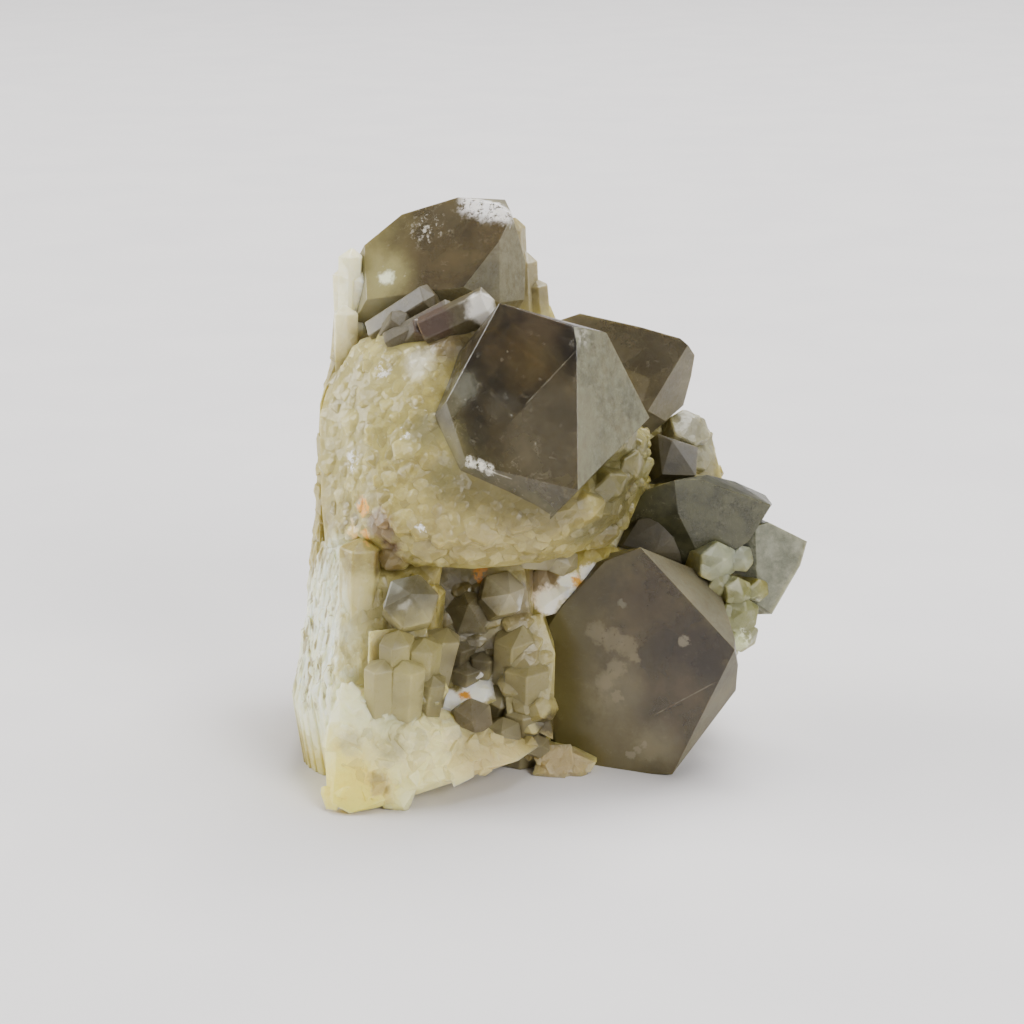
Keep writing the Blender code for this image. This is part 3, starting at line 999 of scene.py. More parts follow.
def column_bmesh(
    tip: Vector, axis: Vector, radius: float, length: float, shape: Pick, rng: random.Random,
    keen: bool = False,
) -> BMesh:
    """A hexagonal crystal with an uneven pyramid and softened edges.

    Args:
        tip: Its point, in metres.
        axis: The way it points.
        radius: Its radius, in metres.
        length: Its whole length, in metres.
        shape: The pyramid's height and the edges' softness, over the radius.
        rng: The field's own random numbers.
        keen: True for a pyramid whose edges stay sharp.

    Returns:
        The closed mesh.
    """
    ratio, softness = shape
    bm = bmesh.new()
    bmesh.ops.create_cone(
        bm, cap_ends=True, cap_tris=False, segments=6, radius1=radius * BASE_TAPER,
        radius2=radius, depth=length,
    )
    top = max(bm.faces, key=lambda face: face.calc_center_median().z)
    apex = bmesh.ops.poke(bm, faces=[top])["verts"][0]
    apex.co.z += radius * ratio
    apex.co.x += radius * rng.uniform(-APEX_SHIFT, APEX_SHIFT)
    apex.co.y += radius * rng.uniform(-APEX_SHIFT, APEX_SHIFT)
    soft = [edge for edge in bm.edges if max(vert.co.z for vert in edge.verts) > 0.0]
    if keen:
        soft = [edge for edge in soft if apex not in edge.verts]
    soften(bm, soft, radius * softness)
    spin = Matrix.Rotation(rng.uniform(0.0, math.tau / 6), 4, "Z")
    squash = Matrix.Diagonal((1.0, rng.uniform(*SQUASH), 1.0, 1.0))
    turn = Vector((0.0, 0.0, 1.0)).rotation_difference(axis).to_matrix().to_4x4()
    drop = Matrix.Translation((0.0, 0.0, -(length * 0.5 + radius * ratio)))
    bmesh.ops.transform(
        bm, matrix=Matrix.Translation(tip) @ turn @ spin @ squash @ drop, verts=bm.verts
    )
    return bm


def chunk_bmesh(
    centre: Vector, axis: Vector, radius: float, thickness: float, rng: random.Random
) -> BMesh:
    """A flat-faced lump of broken rock, thinner along its axis.

    Args:
        centre: Its middle, in metres.
        axis: The way its thin side points.
        radius: Its reach across the axis, in metres.
        thickness: Its reach along the axis, in metres.
        rng: The field's own random numbers.

    Returns:
        The closed mesh.
    """
    turn = Vector((0.0, 0.0, 1.0)).rotation_difference(axis)
    points = []
    for _ in range(CHUNK_CORNERS):
        angle = rng.uniform(0.0, math.tau)
        level = rng.uniform(-1.0, 1.0)
        reach = math.sqrt(1.0 - level * level) * radius * rng.uniform(*CHUNK_REACH)
        corner = (math.cos(angle) * reach, math.sin(angle) * reach, level * thickness)
        points.append(centre + turn @ Vector(corner))
    return hull_bmesh(points)


def surface_tree(blocks: Sequence[tuple[str, BMesh]]) -> tuple[BVHTree, list[str]]:
    """One searchable surface over named blocks.

    Args:
        blocks: Names and meshes.

    Returns:
        The surface and the owner of each of its faces.
    """
    corners: list[Vector] = []
    faces: list[list[int]] = []
    owners: list[str] = []
    for name, bm in blocks:
        base = len(corners)
        bm.verts.index_update()
        corners.extend(vertex.co.copy() for vertex in bm.verts)
        for face in bm.faces:
            faces.append([base + vertex.index for vertex in face.verts])
            owners.append(name)
    return BVHTree.FromPolygons(corners, faces), owners


def on_surface(tree: BVHTree, zone: Zone) -> Vector:
    """Where the line of sight through a drawn point meets a surface.

    Args:
        tree: The surface.
        zone: The drawn point.

    Returns:
        The place, in metres; the nearest one where the line misses.
    """
    sight = DRAWING.point(zone.across, zone.up) - DRAWING.eye
    hit = tree.ray_cast(DRAWING.eye, sight.normalized())[0]
    if hit is None:
        hit = tree.find_nearest(DRAWING.point(zone.across, zone.up))[0]
    return hit


def mesh_object(name: str, bm: BMesh, home: bpy.types.Collection) -> bpy.types.Object:
    """Store a bmesh as a linked object at the origin.

    Args:
        name: The object's name.
        bm: Its mesh, which is freed.
        home: The collection that it is linked to.

    Returns:
        The object.
    """
    mesh = bpy.data.meshes.new(name)
    bm.to_mesh(mesh)
    bm.free()
    made = bpy.data.objects.new(name, mesh)
    home.objects.link(made)
    return made


def combined(name: str, first: BMesh, others: Sequence[BMesh], operation: str) -> BMesh:
    """Join closed meshes, or cut them away, in one step.

    Args:
        name: A name for the step.
        first: The mesh that is changed.
        others: The meshes that are joined to it or cut from it.
        operation: UNION or DIFFERENCE.

    Returns:
        The resulting closed mesh.
    """
    scene = bpy.context.scene.collection
    bench = bpy.data.collections.new(f"{name}_{operation.lower()}")
    scene.children.link(bench)
    subject = mesh_object(name, first, scene)
    tools = [mesh_object(f"{name}_{count:04d}", bm, bench) for count, bm in enumerate(others)]
    step = subject.modifiers.new("join", "BOOLEAN")
    step.operation = operation
    step.solver = "MANIFOLD"
    step.operand_type = "COLLECTION"
    step.collection = bench
    graph = bpy.context.evaluated_depsgraph_get()
    mesh = bpy.data.meshes.new_from_object(subject.evaluated_get(graph))
    result = bmesh.new()
    result.from_mesh(mesh)
    bpy.data.meshes.remove(mesh)
    for item in [subject, *tools]:
        spent = item.data
        bpy.data.objects.remove(item)
        bpy.data.meshes.remove(spent)
    bpy.data.collections.remove(bench)
    return result


def keep_largest(bm: BMesh) -> None:
    """Delete every closed shell but the largest.

    Args:
        bm: The mesh.
    """
    left = set(bm.verts)
    shells: list[set[bmesh.types.BMVert]] = []
    while left:
        shell = {left.pop()}
        edge = list(shell)
        while edge:
            reached = {e.other_vert(v) for v in edge for e in v.link_edges} - shell
            shell |= reached
            edge = list(reached)
        left -= shell
        shells.append(shell)
    shells.sort(key=len)
    for shell in shells[:-1]:
        bmesh.ops.delete(bm, geom=list(shell), context="VERTS")


def ground_block() -> BMesh:
    """A block under the resting plane.

    Returns:
        The closed mesh.
    """
    bm = bmesh.new()
    bmesh.ops.create_cube(bm, size=1.0)
    drop = Matrix.Translation((0.0, 0.0, -0.5 * GROUND_SIZE[2]))
    bmesh.ops.transform(bm, matrix=drop @ Matrix.Diagonal((*GROUND_SIZE, 1.0)), verts=bm.verts)
    return bm


def dress(name: str, bm: BMesh, material: bpy.types.Material) -> bpy.types.Object:
    """Make a finished piece of the cluster.

    Args:
        name: The piece's name.
        bm: Its closed mesh.
        material: Its finish.

    Returns:
        The piece, riding on the cluster's body.
    """
    piece = mesh_object(name, bm, bpy.context.scene.collection)
    piece.data.materials.append(material)
    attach(piece, BODY)
    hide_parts(NODE)
    triangles = sum(len(face.vertices) - 2 for face in piece.data.polygons)
    LOG.info("%s: %d triangles", name, triangles)
    return piece


FRONT = SmokyQuartz(
    dark=tone(40, 29, 8),
    pale=tone(88, 76, 46),
    root=tone(86, 79, 38),
    reach=12.5,
    haze=0.34,
    smoke=(0.62, 0.53, 0.24),
    density=290.0,
    wisps=0.22,
    veil_scale=0.30,
    frosted=tone(114, 114, 90),
    clouds_and_painted_light=zones(
        (485, 378, 2.4, (44, 34, 8), 1.2, 0.8),
        (538, 322, 2.2, (92, 74, 50), 1.4, 0.7),
        (525, 365, 2.2, (96, 78, 36), 1.4, 0.7),
        (500, 350, 1.4, (84, 66, 32), 1.4, 0.6),
        (464, 386, 1.4, (128, 127, 110), 0.9, 0.7),
        (450, 402, 1.2, (112, 108, 84), 0.9, 0.6),
        (476, 436, 1.2, (52, 44, 22), 0.8, 0.8),
        (505, 410, 1.4, (92, 88, 74), 0.9, 0.5),
        (520, 440, 3.0, (78, 66, 36), 1.2, 0.7),
        (432, 395, 2.8, (126, 118, 76), 1.0, 0.8),
        (446, 450, 2.4, (122, 114, 70), 1.0, 0.8),
        # painted shade under the front crystal's lower edge, over the olive of its prism side
        (470, 492, 1.8, (92, 84, 44), 1.2, 0.9),
        (500, 503, 1.8, (84, 76, 38), 1.2, 0.9),
        (530, 511, 1.8, (84, 76, 38), 1.2, 0.9),
        (560, 515, 1.8, (90, 82, 44), 1.2, 0.9),
    ),
    steps=steps(
        (
            (575, 352, 0, (150, 144, 122)),
            (526, 404, 0, (150, 144, 122)),
            (552, 430, 4.2, (108, 98, 74), 0.7, 0.7),
        ),
        ((492, 472, 0, (206, 200, 176)), (512, 479, 0, (206, 200, 176))),
    ),
    bruises_and_highlights=zones(
        (469, 463, 0.5, (232, 228, 214), 0.8, 0.9, 0.36),
        (479, 466, 0.5, (232, 228, 214), 0.8, 0.9, 0.38),
        (489, 470, 0.5, (226, 222, 208), 0.9, 0.9, 0.42),
        (582, 338, 0.9, (176, 174, 160), 1.4, 0.6, 0.46),
    ),
)
TOP = SmokyQuartz(
    dark=tone(70, 57, 30),
    pale=tone(94, 80, 44),
    root=tone(132, 122, 70),
    frosted=tone(134, 131, 104),
    wisps=0.18,
    reach=10.5,
    haze=0.5,
    density=190.0,
    clouds_and_painted_light=zones(
        # painted highlight glow about the bright glint on the top crystal's left facet
        (388, 276, 2.2, (150, 142, 90), 1.2, 0.8),
        (445, 215, 2.0, (84, 72, 44), 1.2, 0.8),
        (490, 236, 1.8, (92, 76, 44), 1.2, 0.8),
        (440, 262, 2.6, (86, 70, 36), 1.2, 0.7),
    ),
    bruises_and_highlights=zones(
        # painted highlight: the bright glint on the top crystal's left facet
        (386, 278, 0.65, (246, 250, 214), 1.0, 0.8),
        (428, 228, 1.5, (206, 202, 188), 1.4, 0.7, 0.55),
        (474, 202, 1.3, (236, 232, 228), 0.9, 0.95, 0.42),
        (490, 207, 1.3, (240, 238, 234), 0.9, 0.95, 0.40),
        (503, 213, 1.0, (236, 232, 226), 0.9, 0.95, 0.42),
    ),
)
RIGHT = SmokyQuartz(
    dark=tone(88, 77, 54),
    pale=tone(110, 101, 76),
    root=tone(122, 114, 86),
    frosted=tone(98, 94, 71),
    haze=0.5,
    wisps=0.12,
)
LOW = SmokyQuartz(
    dark=tone(76, 64, 36),
    pale=tone(104, 91, 58),
    root=tone(94, 86, 44),
    frosted=tone(98, 95, 74),
    reach=13.0,
    haze=0.55,
    wisps=0.06,
    clouds_and_painted_light=zones(
        (590, 590, 2.6, (64, 54, 24), 1.4, 0.75),
        (622, 745, 3.0, (116, 105, 74), 1.2, 0.6),
        (618, 690, 2.4, (130, 120, 90), 1.4, 0.7),
        (650, 600, 2.8, (66, 52, 28), 1.4, 0.75),
        (660, 742, 2.0, (134, 124, 94), 1.2, 0.6),
        (698, 655, 3.4, (50, 38, 24), 1.2, 0.9),
        (675, 700, 2.6, (90, 76, 54), 1.3, 0.6),
        (575, 660, 2.4, (80, 70, 34), 1.2, 0.6),
        # painted shade in the dark slot at the low crystal's left edge
        (549, 722, 0.8, (80, 69, 36), 0.7, 0.8),
    ),
    bruises_and_highlights=zones(
        (597, 633, 0.9, (138, 128, 102), 0.7, 0.4, 0.36),
        (613, 640, 1.0, (138, 128, 102), 0.7, 0.4, 0.36),
        (628, 646, 0.9, (138, 128, 102), 0.7, 0.4, 0.36),
        (635, 658, 0.5, (142, 132, 106), 0.7, 0.4),
        (616, 668, 0.8, (138, 128, 102), 0.7, 0.4, 0.36),
        (605, 682, 0.8, (138, 128, 102), 0.7, 0.4, 0.36),
        (617, 697, 0.5, (138, 128, 102), 0.4, 0.4),
        (685, 641, 0.5, (142, 134, 112), 0.6, 0.7, 0.4),
        (630, 755, 0.4, (150, 142, 118), 0.5, 0.5),
        (637, 750, 0.4, (150, 142, 118), 0.5, 0.5),
        (644, 744, 0.3, (150, 142, 118), 0.5, 0.5),
        (622, 604, 0.25, (132, 128, 110), 0.6, 0.5),
    ),
    steps=steps(((656, 714, 0, (134, 124, 100)), (716, 682, 0, (134, 124, 100)))),
)
GREEN = SmokyQuartz(
    dark=tone(54, 53, 32),
    pale=tone(84, 83, 58),
    root=tone(70, 67, 32),
    frosted=tone(86, 86, 62),
    veil_scale=0.6,
    smoke=(0.58, 0.58, 0.40),
    density=120.0,
    haze=0.72,
)
PALE_GREEN = SmokyQuartz(
    dark=tone(84, 86, 64),
    pale=tone(144, 145, 124),
    root=tone(122, 122, 96),
    frosted=tone(146, 147, 128),
    smoke=(0.70, 0.72, 0.56),
    density=100.0,
    haze=0.72,
    veil_scale=0.9,
)
CHIP = SmokyQuartz(
    dark=tone(58, 51, 34),
    pale=tone(84, 77, 56),
    frosted=tone(96, 91, 68),
    haze=0.75,
    wisps=0.1,
    roughness=0.22,
)
BUDS = SmokyQuartz(
    dark=tone(122, 112, 76),
    pale=tone(152, 143, 104),
    root=tone(130, 120, 82),
    smoke=(0.72, 0.68, 0.5),
    density=110.0,
    haze=0.68,
    veil_scale=0.5,
    wisps=0.15,
    roughness=0.28,
    reach=60.0,
    clouds_and_painted_light=zones(
        (512, 588, 2.2, (168, 160, 132), 0.9, 0.8),
        # painted shade in the hollow under the round end
        (472, 608, 2.6, (84, 75, 42), 0.9, 0.9),
        (468, 655, 2.6, (76, 68, 44), 0.9, 0.9),
        (400, 588, 2.8, (78, 73, 48), 0.9, 0.85),
        (425, 650, 3.4, (158, 148, 92), 0.9, 0.8),
        (395, 700, 3.6, (176, 166, 108), 0.9, 0.8),
        (438, 690, 1.6, (118, 110, 72), 0.9, 0.8),
        (525, 640, 3.0, (144, 133, 86), 0.9, 0.75),
        (530, 690, 3.0, (152, 141, 94), 0.9, 0.75),
        (396, 580, 1.2, (140, 140, 124), 0.9, 0.6, 0.45),
        (405, 606, 0.6, (172, 168, 150), 0.9, 0.7),
        (522, 606, 0.8, (200, 198, 188), 0.7, 0.8),
        (474, 716, 2.2, (100, 88, 62), 0.9, 0.8),
        (430, 312, 6.0, (68, 59, 34), 0.8, 0.9),
        (430, 322, 1.9, (68, 50, 36), 0.7, 0.95),
        (482, 309, 1.6, (218, 214, 204), 0.6, 0.95),
    ),
)

CRYSTALS = (
    Crystal(
        "front_tip",
        (5.7, 14.6, -12.5),
        (
            Facet((-0.40, 0.00, 0.917), ((5.4, 16.3), (-1.1, 18.4), (-5.8, 9.7), (-4.0, 4.3)),
                  frost=0.05),
            Facet((0.82, 0.006, 0.57), ((6.2, 16.2), (8.3, 15.8), (12.1, 8.3), (5.8, 1.9)),
                  frost=0.9),
        ),
        ((7.4, 11.6, 2.0), (1.6, 16.5, 0.0)),
        (0.49, 0.53, 0.70),
        9.0,
        7.5,
        FRONT,
        0.05,
    ),
    Crystal(
        "top_tip",
        (-1.1, 23.9, -1.0),
        (
            Facet(
                (-0.35, 0.35, 0.87),
                ((-1.4, 27.1), (-4.8, 27.7), (-9.7, 26.2), (-13.0, 23.5), (-12.8, 18.7),
                 (-4.3, 19.8)),
                frost=0.08,
            ),
            Facet((0.80, -0.15, 0.58), ((-1.1, 18.4), (1.1, 18.7), (1.2, 22.0), (0.0, 26.2)),
                  frost=0.75),
        ),
        ((-0.6, 27.5, 4.0),),
        (0.40, 0.60, 0.70),
        7.0,
        4.0,
        TOP,
        0.6,
    ),
    Crystal(
        "right_tip",
        (15.5, 14.7, 4.0),
        (
            Facet(
                (-0.40, 0.35, 0.85),
                ((14.8, 15.3), (11.3, 16.3), (7.7, 17.1), (6.0, 17.5), (4.2, 16.9),
                 (4.2, 13.4), (7.7, 9.4), (12.0, 8.9)),
                frost=0.08,
            ),
            Facet((0.74, -0.38, 0.55), ((16.1, 13.8), (15.8, 12.0), (15.1, 9.4), (13.5, 8.0)),
                  frost=0.6),
        ),
        (),
        (0.50, 0.45, 0.74),
        6.0,
        4.5,
        RIGHT,
    ),
    Crystal(
        "dark_chip",
        (14.6, 5.0, 5.0),
        (Facet((0.10, 0.10, 0.98), ((12.8, 6.9), (16.4, 5.7), (16.2, 3.2), (13.2, 3.3)),
               frost=0.15),),
        ((14.1, 6.3, 4.6),),
        (0.40, 0.30, 0.85),
        6.0,
        3.0,
        CHIP,
    ),
    Crystal(
        "green_tip",
        (22.8, 0.6, 3.0),
        (
            Facet(
                (0.08, -0.39, 0.92),
                ((22.5, 0.1), (14.3, 2.8), (16.5, 2.9), (22.3, -0.3), (20.9, -2.5),
                 (19.6, -3.5), (16.7, -4.4), (15.7, -2.6), (14.6, -0.1)),
                frost=0.3,
            ),
            Facet(
                (0.52, 0.78, 0.36),
                ((22.9, 0.7), (17.1, 3.3), (19.6, 2.7), (22.3, 1.5)),
                (22.3, -0.3),
                frost=0.0,
            ),
            Facet((-0.84, -0.31, 0.43), ((11.7, 1.8), (12.6, 0.0)), (14.3, 2.8), frost=0.0),
        ),
        (),
        (0.75, 0.25, 0.60),
        7.0,
        4.5,
        GREEN,
    ),
    Crystal(
        "far_tip",
        (26.0, -2.6, 4.0),
        (
            Facet(
                (-0.06, -0.34, 0.94),
                ((25.4, -4.7), (24.1, -6.9), (22.9, -9.0), (21.6, -8.1), (21.4, -4.2),
                 (21.4, -1.3), (22.6, -0.9)),
                frost=0.6,
            ),
        ),
        ((22.1, -0.7, 7.0), (24.0, -1.6, 6.5)),
        (0.72, 0.05, 0.70),
        7.0,
        4.5,
        PALE_GREEN,
    ),
    Crystal(
        "low_tip",
        (19.6, -12.1, -3.0),
        (
            Facet(
                (-0.38, -0.15, 0.91),
                ((11.3, -3.1), (14.1, -23.1), (7.7, -22.9), (3.9, -20.5), (3.2, -16.5),
                 (3.3, -9.9), (4.4, -8.3), (8.2, -4.3)),
                frost=0.05,
            ),
            Facet((0.65, 0.67, 0.36), ((17.0, -5.4), (18.3, -6.9), (19.6, -11.1)), frost=0.8),
            Facet((0.75, -0.50, 0.43), ((19.9, -13.5), (19.7, -15.7)), frost=0.75),
        ),
        (),
        (0.55, 0.12, 0.83),
        9.0,
        6.0,
        LOW,
    ),
    Crystal(
        "dark_bud",
        (13.7, -0.4, 4.0),
        (),
        (
            (12.0, 0.0, 5.0), (15.7, -0.9, 4.2), (16.5, -3.6, 5.5), (16.8, -5.2, 6.5),
            (12.6, -3.6, 4.5), (9.7, -2.9, 4.5), (11.1, -0.7, 4.5),
        ),
        (0.40, 0.10, 0.90),
        4.0,
        2.0,
        CHIP,
    ),
)

# The blocks' corners, each across, up and behind the drawing.
MASSES: dict[str, tuple[Pick, ...]] = {
    "body": (
        (-14, 21, 6), (-14.5, 16, 4), (-16.3, 11, 4), (-16.9, 9.5, 3),
        (-16.8, 1, 2), (-17, -4, 2), (-17.8, -11.5, 4), (-16.5, -19.5, 4),
        (-1, 18.5, 8), (4, 16, 12), (11.5, 7, 9), (13, -0.5, 8),
        (11.5, -7.5, 5), (4, -9.5, 5), (7.5, -19.5, 6), (4, -20.5, 6),
        (-3, -20.5, 5), (-12, 18, 19), (2.5, 16, 20), (11.5, 7, 20),
        (13, -4, 19), (8.5, -15.5, 17), (-5.5, -17.5, 18), (-14, -15.5, 17),
        (-15.5, -4, 21), (-14.5, 10, 21), (3, -17.5, 17),
    ),
    "mantle": (
        (-16.3, 10.7, 2.2), (-16.9, 8.5, 1.6), (-16.8, 1, 0.4), (-16.4, -3, -0.8),
        (-10.5, -4.5, -4.5), (-3.5, -5, -4.5), (2.5, -4.5, -3.5), (7.5, -3, -1),
        (10.5, -0.5, 1), (12, 3, 3), (12, 7, 4), (-7, 13.5, -5),
        (-7.5, 8, -5.8), (-5.6, 3, -7.4), (0.3, 0.8, -9.2), (5, 0.2, -9.8),
        (8.6, -0.2, -5.6), (11.8, 6.5, -1.4), (-10, 17, 0), (-14, 14.5, 2),
        (-3.5, 18, -3), (-12.5, 7, -4.5), (-11, -0.5, -7.5), (-5.5, -2.5, -8.5),
        (2.5, -2.9, -7.6), (-12.5, 14, -1.5), (-15, 10, 14), (-15, -2.5, 12),
        (4, 15, 14), (11.5, 3, 14),
    ),
    "lower_left": (
        (-14.5, -2.4, -2.5), (-15, -7.5, -4), (-15.5, -15, -5), (-11, -17, -4.5),
        (-16.8, -2.6, 0.4),
        (-7.6, -11.5, -1.6), (-6, -4, -3), (-17, -4, 0.4), (-17.8, -8.5, 1.2),
        (-19, -15, 2), (-18.5, -16.5, 3), (-17, -20, 1), (-8.6, -18.5, -1.6),
        (-17.5, -9.5, 14), (-18, -16.5, 14), (-6.5, -7.5, 12),
    ),
    "white_chip": (
        (-6.4, -16.4, 0.6), (-5.4, -15.4, 1.4), (-3.2, -14.3, 2.2), (-1.8, -14.6, 1.9),
        (-1.4, -16.6, 0.6), (-2.8, -17.2, -0.1), (-5.4, -18.2, -0.3), (-5.2, -15.5, 6.5),
        (-1.5, -15, 6.5), (-2, -17.5, 6.5), (-5.2, -17.8, 6.5),
    ),
    "cup": (
        (-7.5, -3.5, 0.4), (1, -3.5, 0.2), (1.5, -9, 1.4), (0, -17, 2.2),
        (-6, -17, 2.2), (-7.6, -10, 0.8), (-7.5, -4, 9), (3, -4, 9),
        (3, -17, 9), (-6, -17, 9),
    ),
    "plate": (
        (0.2, -9.4, 0.8), (2.6, -9, 1.4), (3.8, -12.5, 0.9), (3.2, -17, 0.3),
        (3.6, -20, 1.4), (-0.4, -18, 0.4), (-0.9, -13, 0.4), (1.6, -14, -0.3),
        (0.5, -9, 9), (3.4, -9, 9), (3.4, -18.5, 9), (-0.5, -18, 9),
    ),
    "left_plate": (
        (-12.6, -10.5, -5.6), (-7.6, -10, -4.6), (-6.2, -15.5, -3.6), (-7.5, -17, -4.2),
        (-12.8, -17, -5.6), (-12, -10.5, 4), (-7.5, -10.5, 4), (-7, -16.5, 4),
        (-12.5, -16.5, 4),
    ),
    "seam": (
        (8.4, -4.4, 1.1), (4.3, -8.8, 3), (0.7, -9.8, 3.6), (0.8, -6.2, 3.8),
        (4.8, -2.9, 2.8), (8.7, -3.2, 1.4), (8, -6, 8), (1, -9, 9),
        (4.5, -3, 9),
    ),
    "foot": (
        (-16.5, -20, -4.5), (-16.3, -24.5, -6), (-15.8, -25.7, -7), (-14.3, -26.5, -7.3),
        (-11.8, -26, -6.3), (-8, -24.1, -6), (-4.5, -23, -5), (0.5, -21.9, -2.5),
        (2.5, -20.5, 1), (-6.5, -17.5, -2.5), (-10.5, -17, -4.5), (-13, -16.5, -5.5),
        (-15, -15, -6), (-16, -19, 10), (-15.5, -18, 13), (-7, -17, 14),
        (2.5, -18, 12),
    ),
    "ledge": (
        (1.4, -20.6, 2.2), (4, -20.7, 1.6), (7.4, -22, 1.9), (6.9, -22.9, 1.6),
        (4.6, -22.9, 1), (2.2, -22.2, 1.2), (1.5, -19.5, 8), (7.6, -20.5, 8),
        (2, -21.5, 8), (7.6, -21.8, 8),
    ),
    "right_base": (
        (11.5, 7, 8), (15, 9, 10), (16.5, 8.5, 10), (17.5, 7, 10),
        (18, 3.5, 10), (18.5, -0.5, 9), (21, -7.5, 8.5), (21, -11, 8),
        (19, -12.5, 6.5), (12, -7.5, 4), (15, 6.5, 17), (18, -4, 17),
        (18, -11.5, 16), (11.5, -4, 17),
    ),
}

# Name, tip, axis, radius and length.
COLUMN_ROWS = (
    ("hex_end", (-8.8, -7.6, -8), (0.10, 0.25, 0.95), 2.5, 6),
    ("bud_a", (-9.9, -11.3, -6.5), (0.10, 0.50, 0.85), 1.3, 4),
    ("side_column", (-5.9, -10.3, -3.2), (0.22, 0.88, 0.42), 1.4, 9),
    ("tall_column", (-13.2, -2.2, -4.6), (0.06, 0.95, 0.30), 2.1, 14),
    ("near_column", (-10.1, -10.6, -6.8), (0.05, 0.88, 0.47), 1.5, 7),
    ("mid_column", (-7.8, -11, -5.6), (0.10, 0.88, 0.47), 1.5, 7),
    ("low_column_a", (-9.2, -12.9, -6.6), (0.08, 0.88, 0.45), 1.4, 7),
    ("low_column_b", (-11.5, -12.9, -6.9), (0.03, 0.90, 0.42), 1.4, 7),
    ("low_column_c", (-7, -14.2, -4.6), (0.15, 0.85, 0.50), 1.2, 6),
    ("round_end", (-0.2, -6.7, -2), (0.35, 0.30, 0.88), 2.2, 6),
    ("brown_bud", (-3.2, -8.6, -1), (0.10, 0.00, 0.98), 2.7, 6),
    ("olive_bud_a", (2.9, -3.2, -4.5), (0.40, -0.20, 0.90), 2.5, 6),
    ("olive_bud_b", (4.8, -4.6, -2.6), (0.40, -0.20, 0.90), 1.6, 5),
    ("gray_hex", (-3.2, -18, -2.8), (0.25, 0.15, 0.95), 1.9, 5),
    ("gray_bud_a", (-0.4, -19.4, -1), (0.30, 0.10, 0.90), 1.7, 5),
    ("gray_bud_b", (2.5, -20.6, 0.6), (0.30, 0.10, 0.90), 1.2, 5),
    ("broad_blade", (0.4, -9.9, 0.4), (0.05, 0.86, 0.50), 2.1, 10),
    ("pale_blade", (1.3, -12.7, 0.2), (0.02, 0.90, 0.42), 1.9, 9),
    ("low_blade", (1, -16.9, 0.6), (0.05, 0.85, 0.50), 1.5, 7),
    ("hollow_a", (-4.6, -10.9, 1), (0.12, 0.82, 0.55), 1.4, 8),
    ("hollow_b", (-2.3, -11.9, 1.4), (0.10, 0.84, 0.52), 1.4, 8),
    ("hollow_c", (-4, -13.1, 1.2), (0.10, 0.82, 0.55), 1.2, 7),
    ("hollow_d", (-0.9, -15.7, 1), (0.20, 0.60, 0.75), 1.3, 6),
    ("rim_plate_a", (10, 5.4, -5.2), (0.66, -0.35, 0.66), 2.9, 9),
    ("rim_plate_b", (11.1, 3.4, -3.4), (0.75, -0.40, 0.53), 1.9, 8),
    ("rim_plate_c", (9.2, 1.3, -6.2), (0.60, -0.50, 0.62), 2.3, 8),
    ("rim_plate_d", (6.8, -0.6, -8.4), (0.45, -0.55, 0.70), 2.3, 8),
    ("rim_plate_e", (4, -1.6, -9), (0.25, -0.55, 0.80), 2.1, 7),
    ("saddle_gray", (-6.6, 19.1, -1.6), (0.78, 0.45, 0.43), 1.6, 8),
    ("saddle_wedge", (-4.6, 17.9, -3.2), (0.85, 0.42, 0.30), 1.5, 8),
    ("saddle_white", (-1.4, 18.6, -5), (0.88, 0.38, 0.28), 1.7, 8),
    ("saddle_bud_a", (-9.4, 17.3, -2.2), (0.45, 0.50, 0.75), 1.3, 6),
    ("saddle_bud_b", (-7.3, 16.6, -3.6), (0.50, 0.45, 0.75), 1.4, 6),
    ("needle_a", (-14.2, 23.3, 3.5), (0.02, 0.98, 0.20), 1.2, 11),
    ("needle_b", (-14.9, 21.6, 5), (-0.03, 0.98, 0.15), 1, 11),
    ("needle_c", (-13, 21.2, 3.6), (0.10, 0.97, 0.25), 1.2, 9),
    ("needle_d", (-12.3, 23.1, 6), (0.10, 0.97, 0.10), 1.3, 9),
    ("needle_e", (-14.6, 18.3, 2.4), (0.02, 0.97, 0.25), 1.2, 8),
    ("back_spur_a", (-0.1, 26, 4), (-0.05, 0.95, 0.30), 1.5, 10),
    ("back_spur_b", (1, 22.9, 5), (-0.05, 0.95, 0.30), 1.3, 8),
    ("back_spur_d", (2.2, 20.6, 5.5), (-0.10, 0.95, 0.30), 1, 8),
    ("back_spur_c", (-1.1, 26.2, 9), (0.05, 0.98, -0.10), 2.4, 12),
    ("green_base", (18.6, -4.7, 3), (0.45, -0.20, 0.87), 2.1, 7),
    ("green_ledge", (20.7, -4.2, 4.2), (0.50, -0.10, 0.86), 1.5, 6),
    ("knob_a", (20.3, -7.2, 3.4), (0.48, -0.15, 0.86), 1.5, 7),
    ("knob_b", (22.1, -7, 4.8), (0.58, -0.15, 0.80), 1.3, 7),
    ("knob_c", (20.6, -9.3, 3.8), (0.45, -0.20, 0.87), 2.1, 7),
    ("knob_d", (20.9, -11.4, 5.2), (0.55, -0.40, 0.73), 1.7, 6),
    ("knob_e", (18.7, -6.6, 3.6), (0.40, -0.10, 0.90), 1.4, 6),
    ("lobe_a", (16.1, 8, 7), (0.40, 0.55, 0.72), 2.2, 8),
    ("lobe_b", (16.7, 5.6, 7.6), (0.55, 0.35, 0.75), 2, 8),
)
COLUMNS = tuple(Column(*row) for row in COLUMN_ROWS)

FRONT_ROOTS = ((0.5, 8.5, 7), (4, 6.5, 7), (7, 6.5, 6))
RIM = ((11, 5, 4), (9.5, 1, 3))

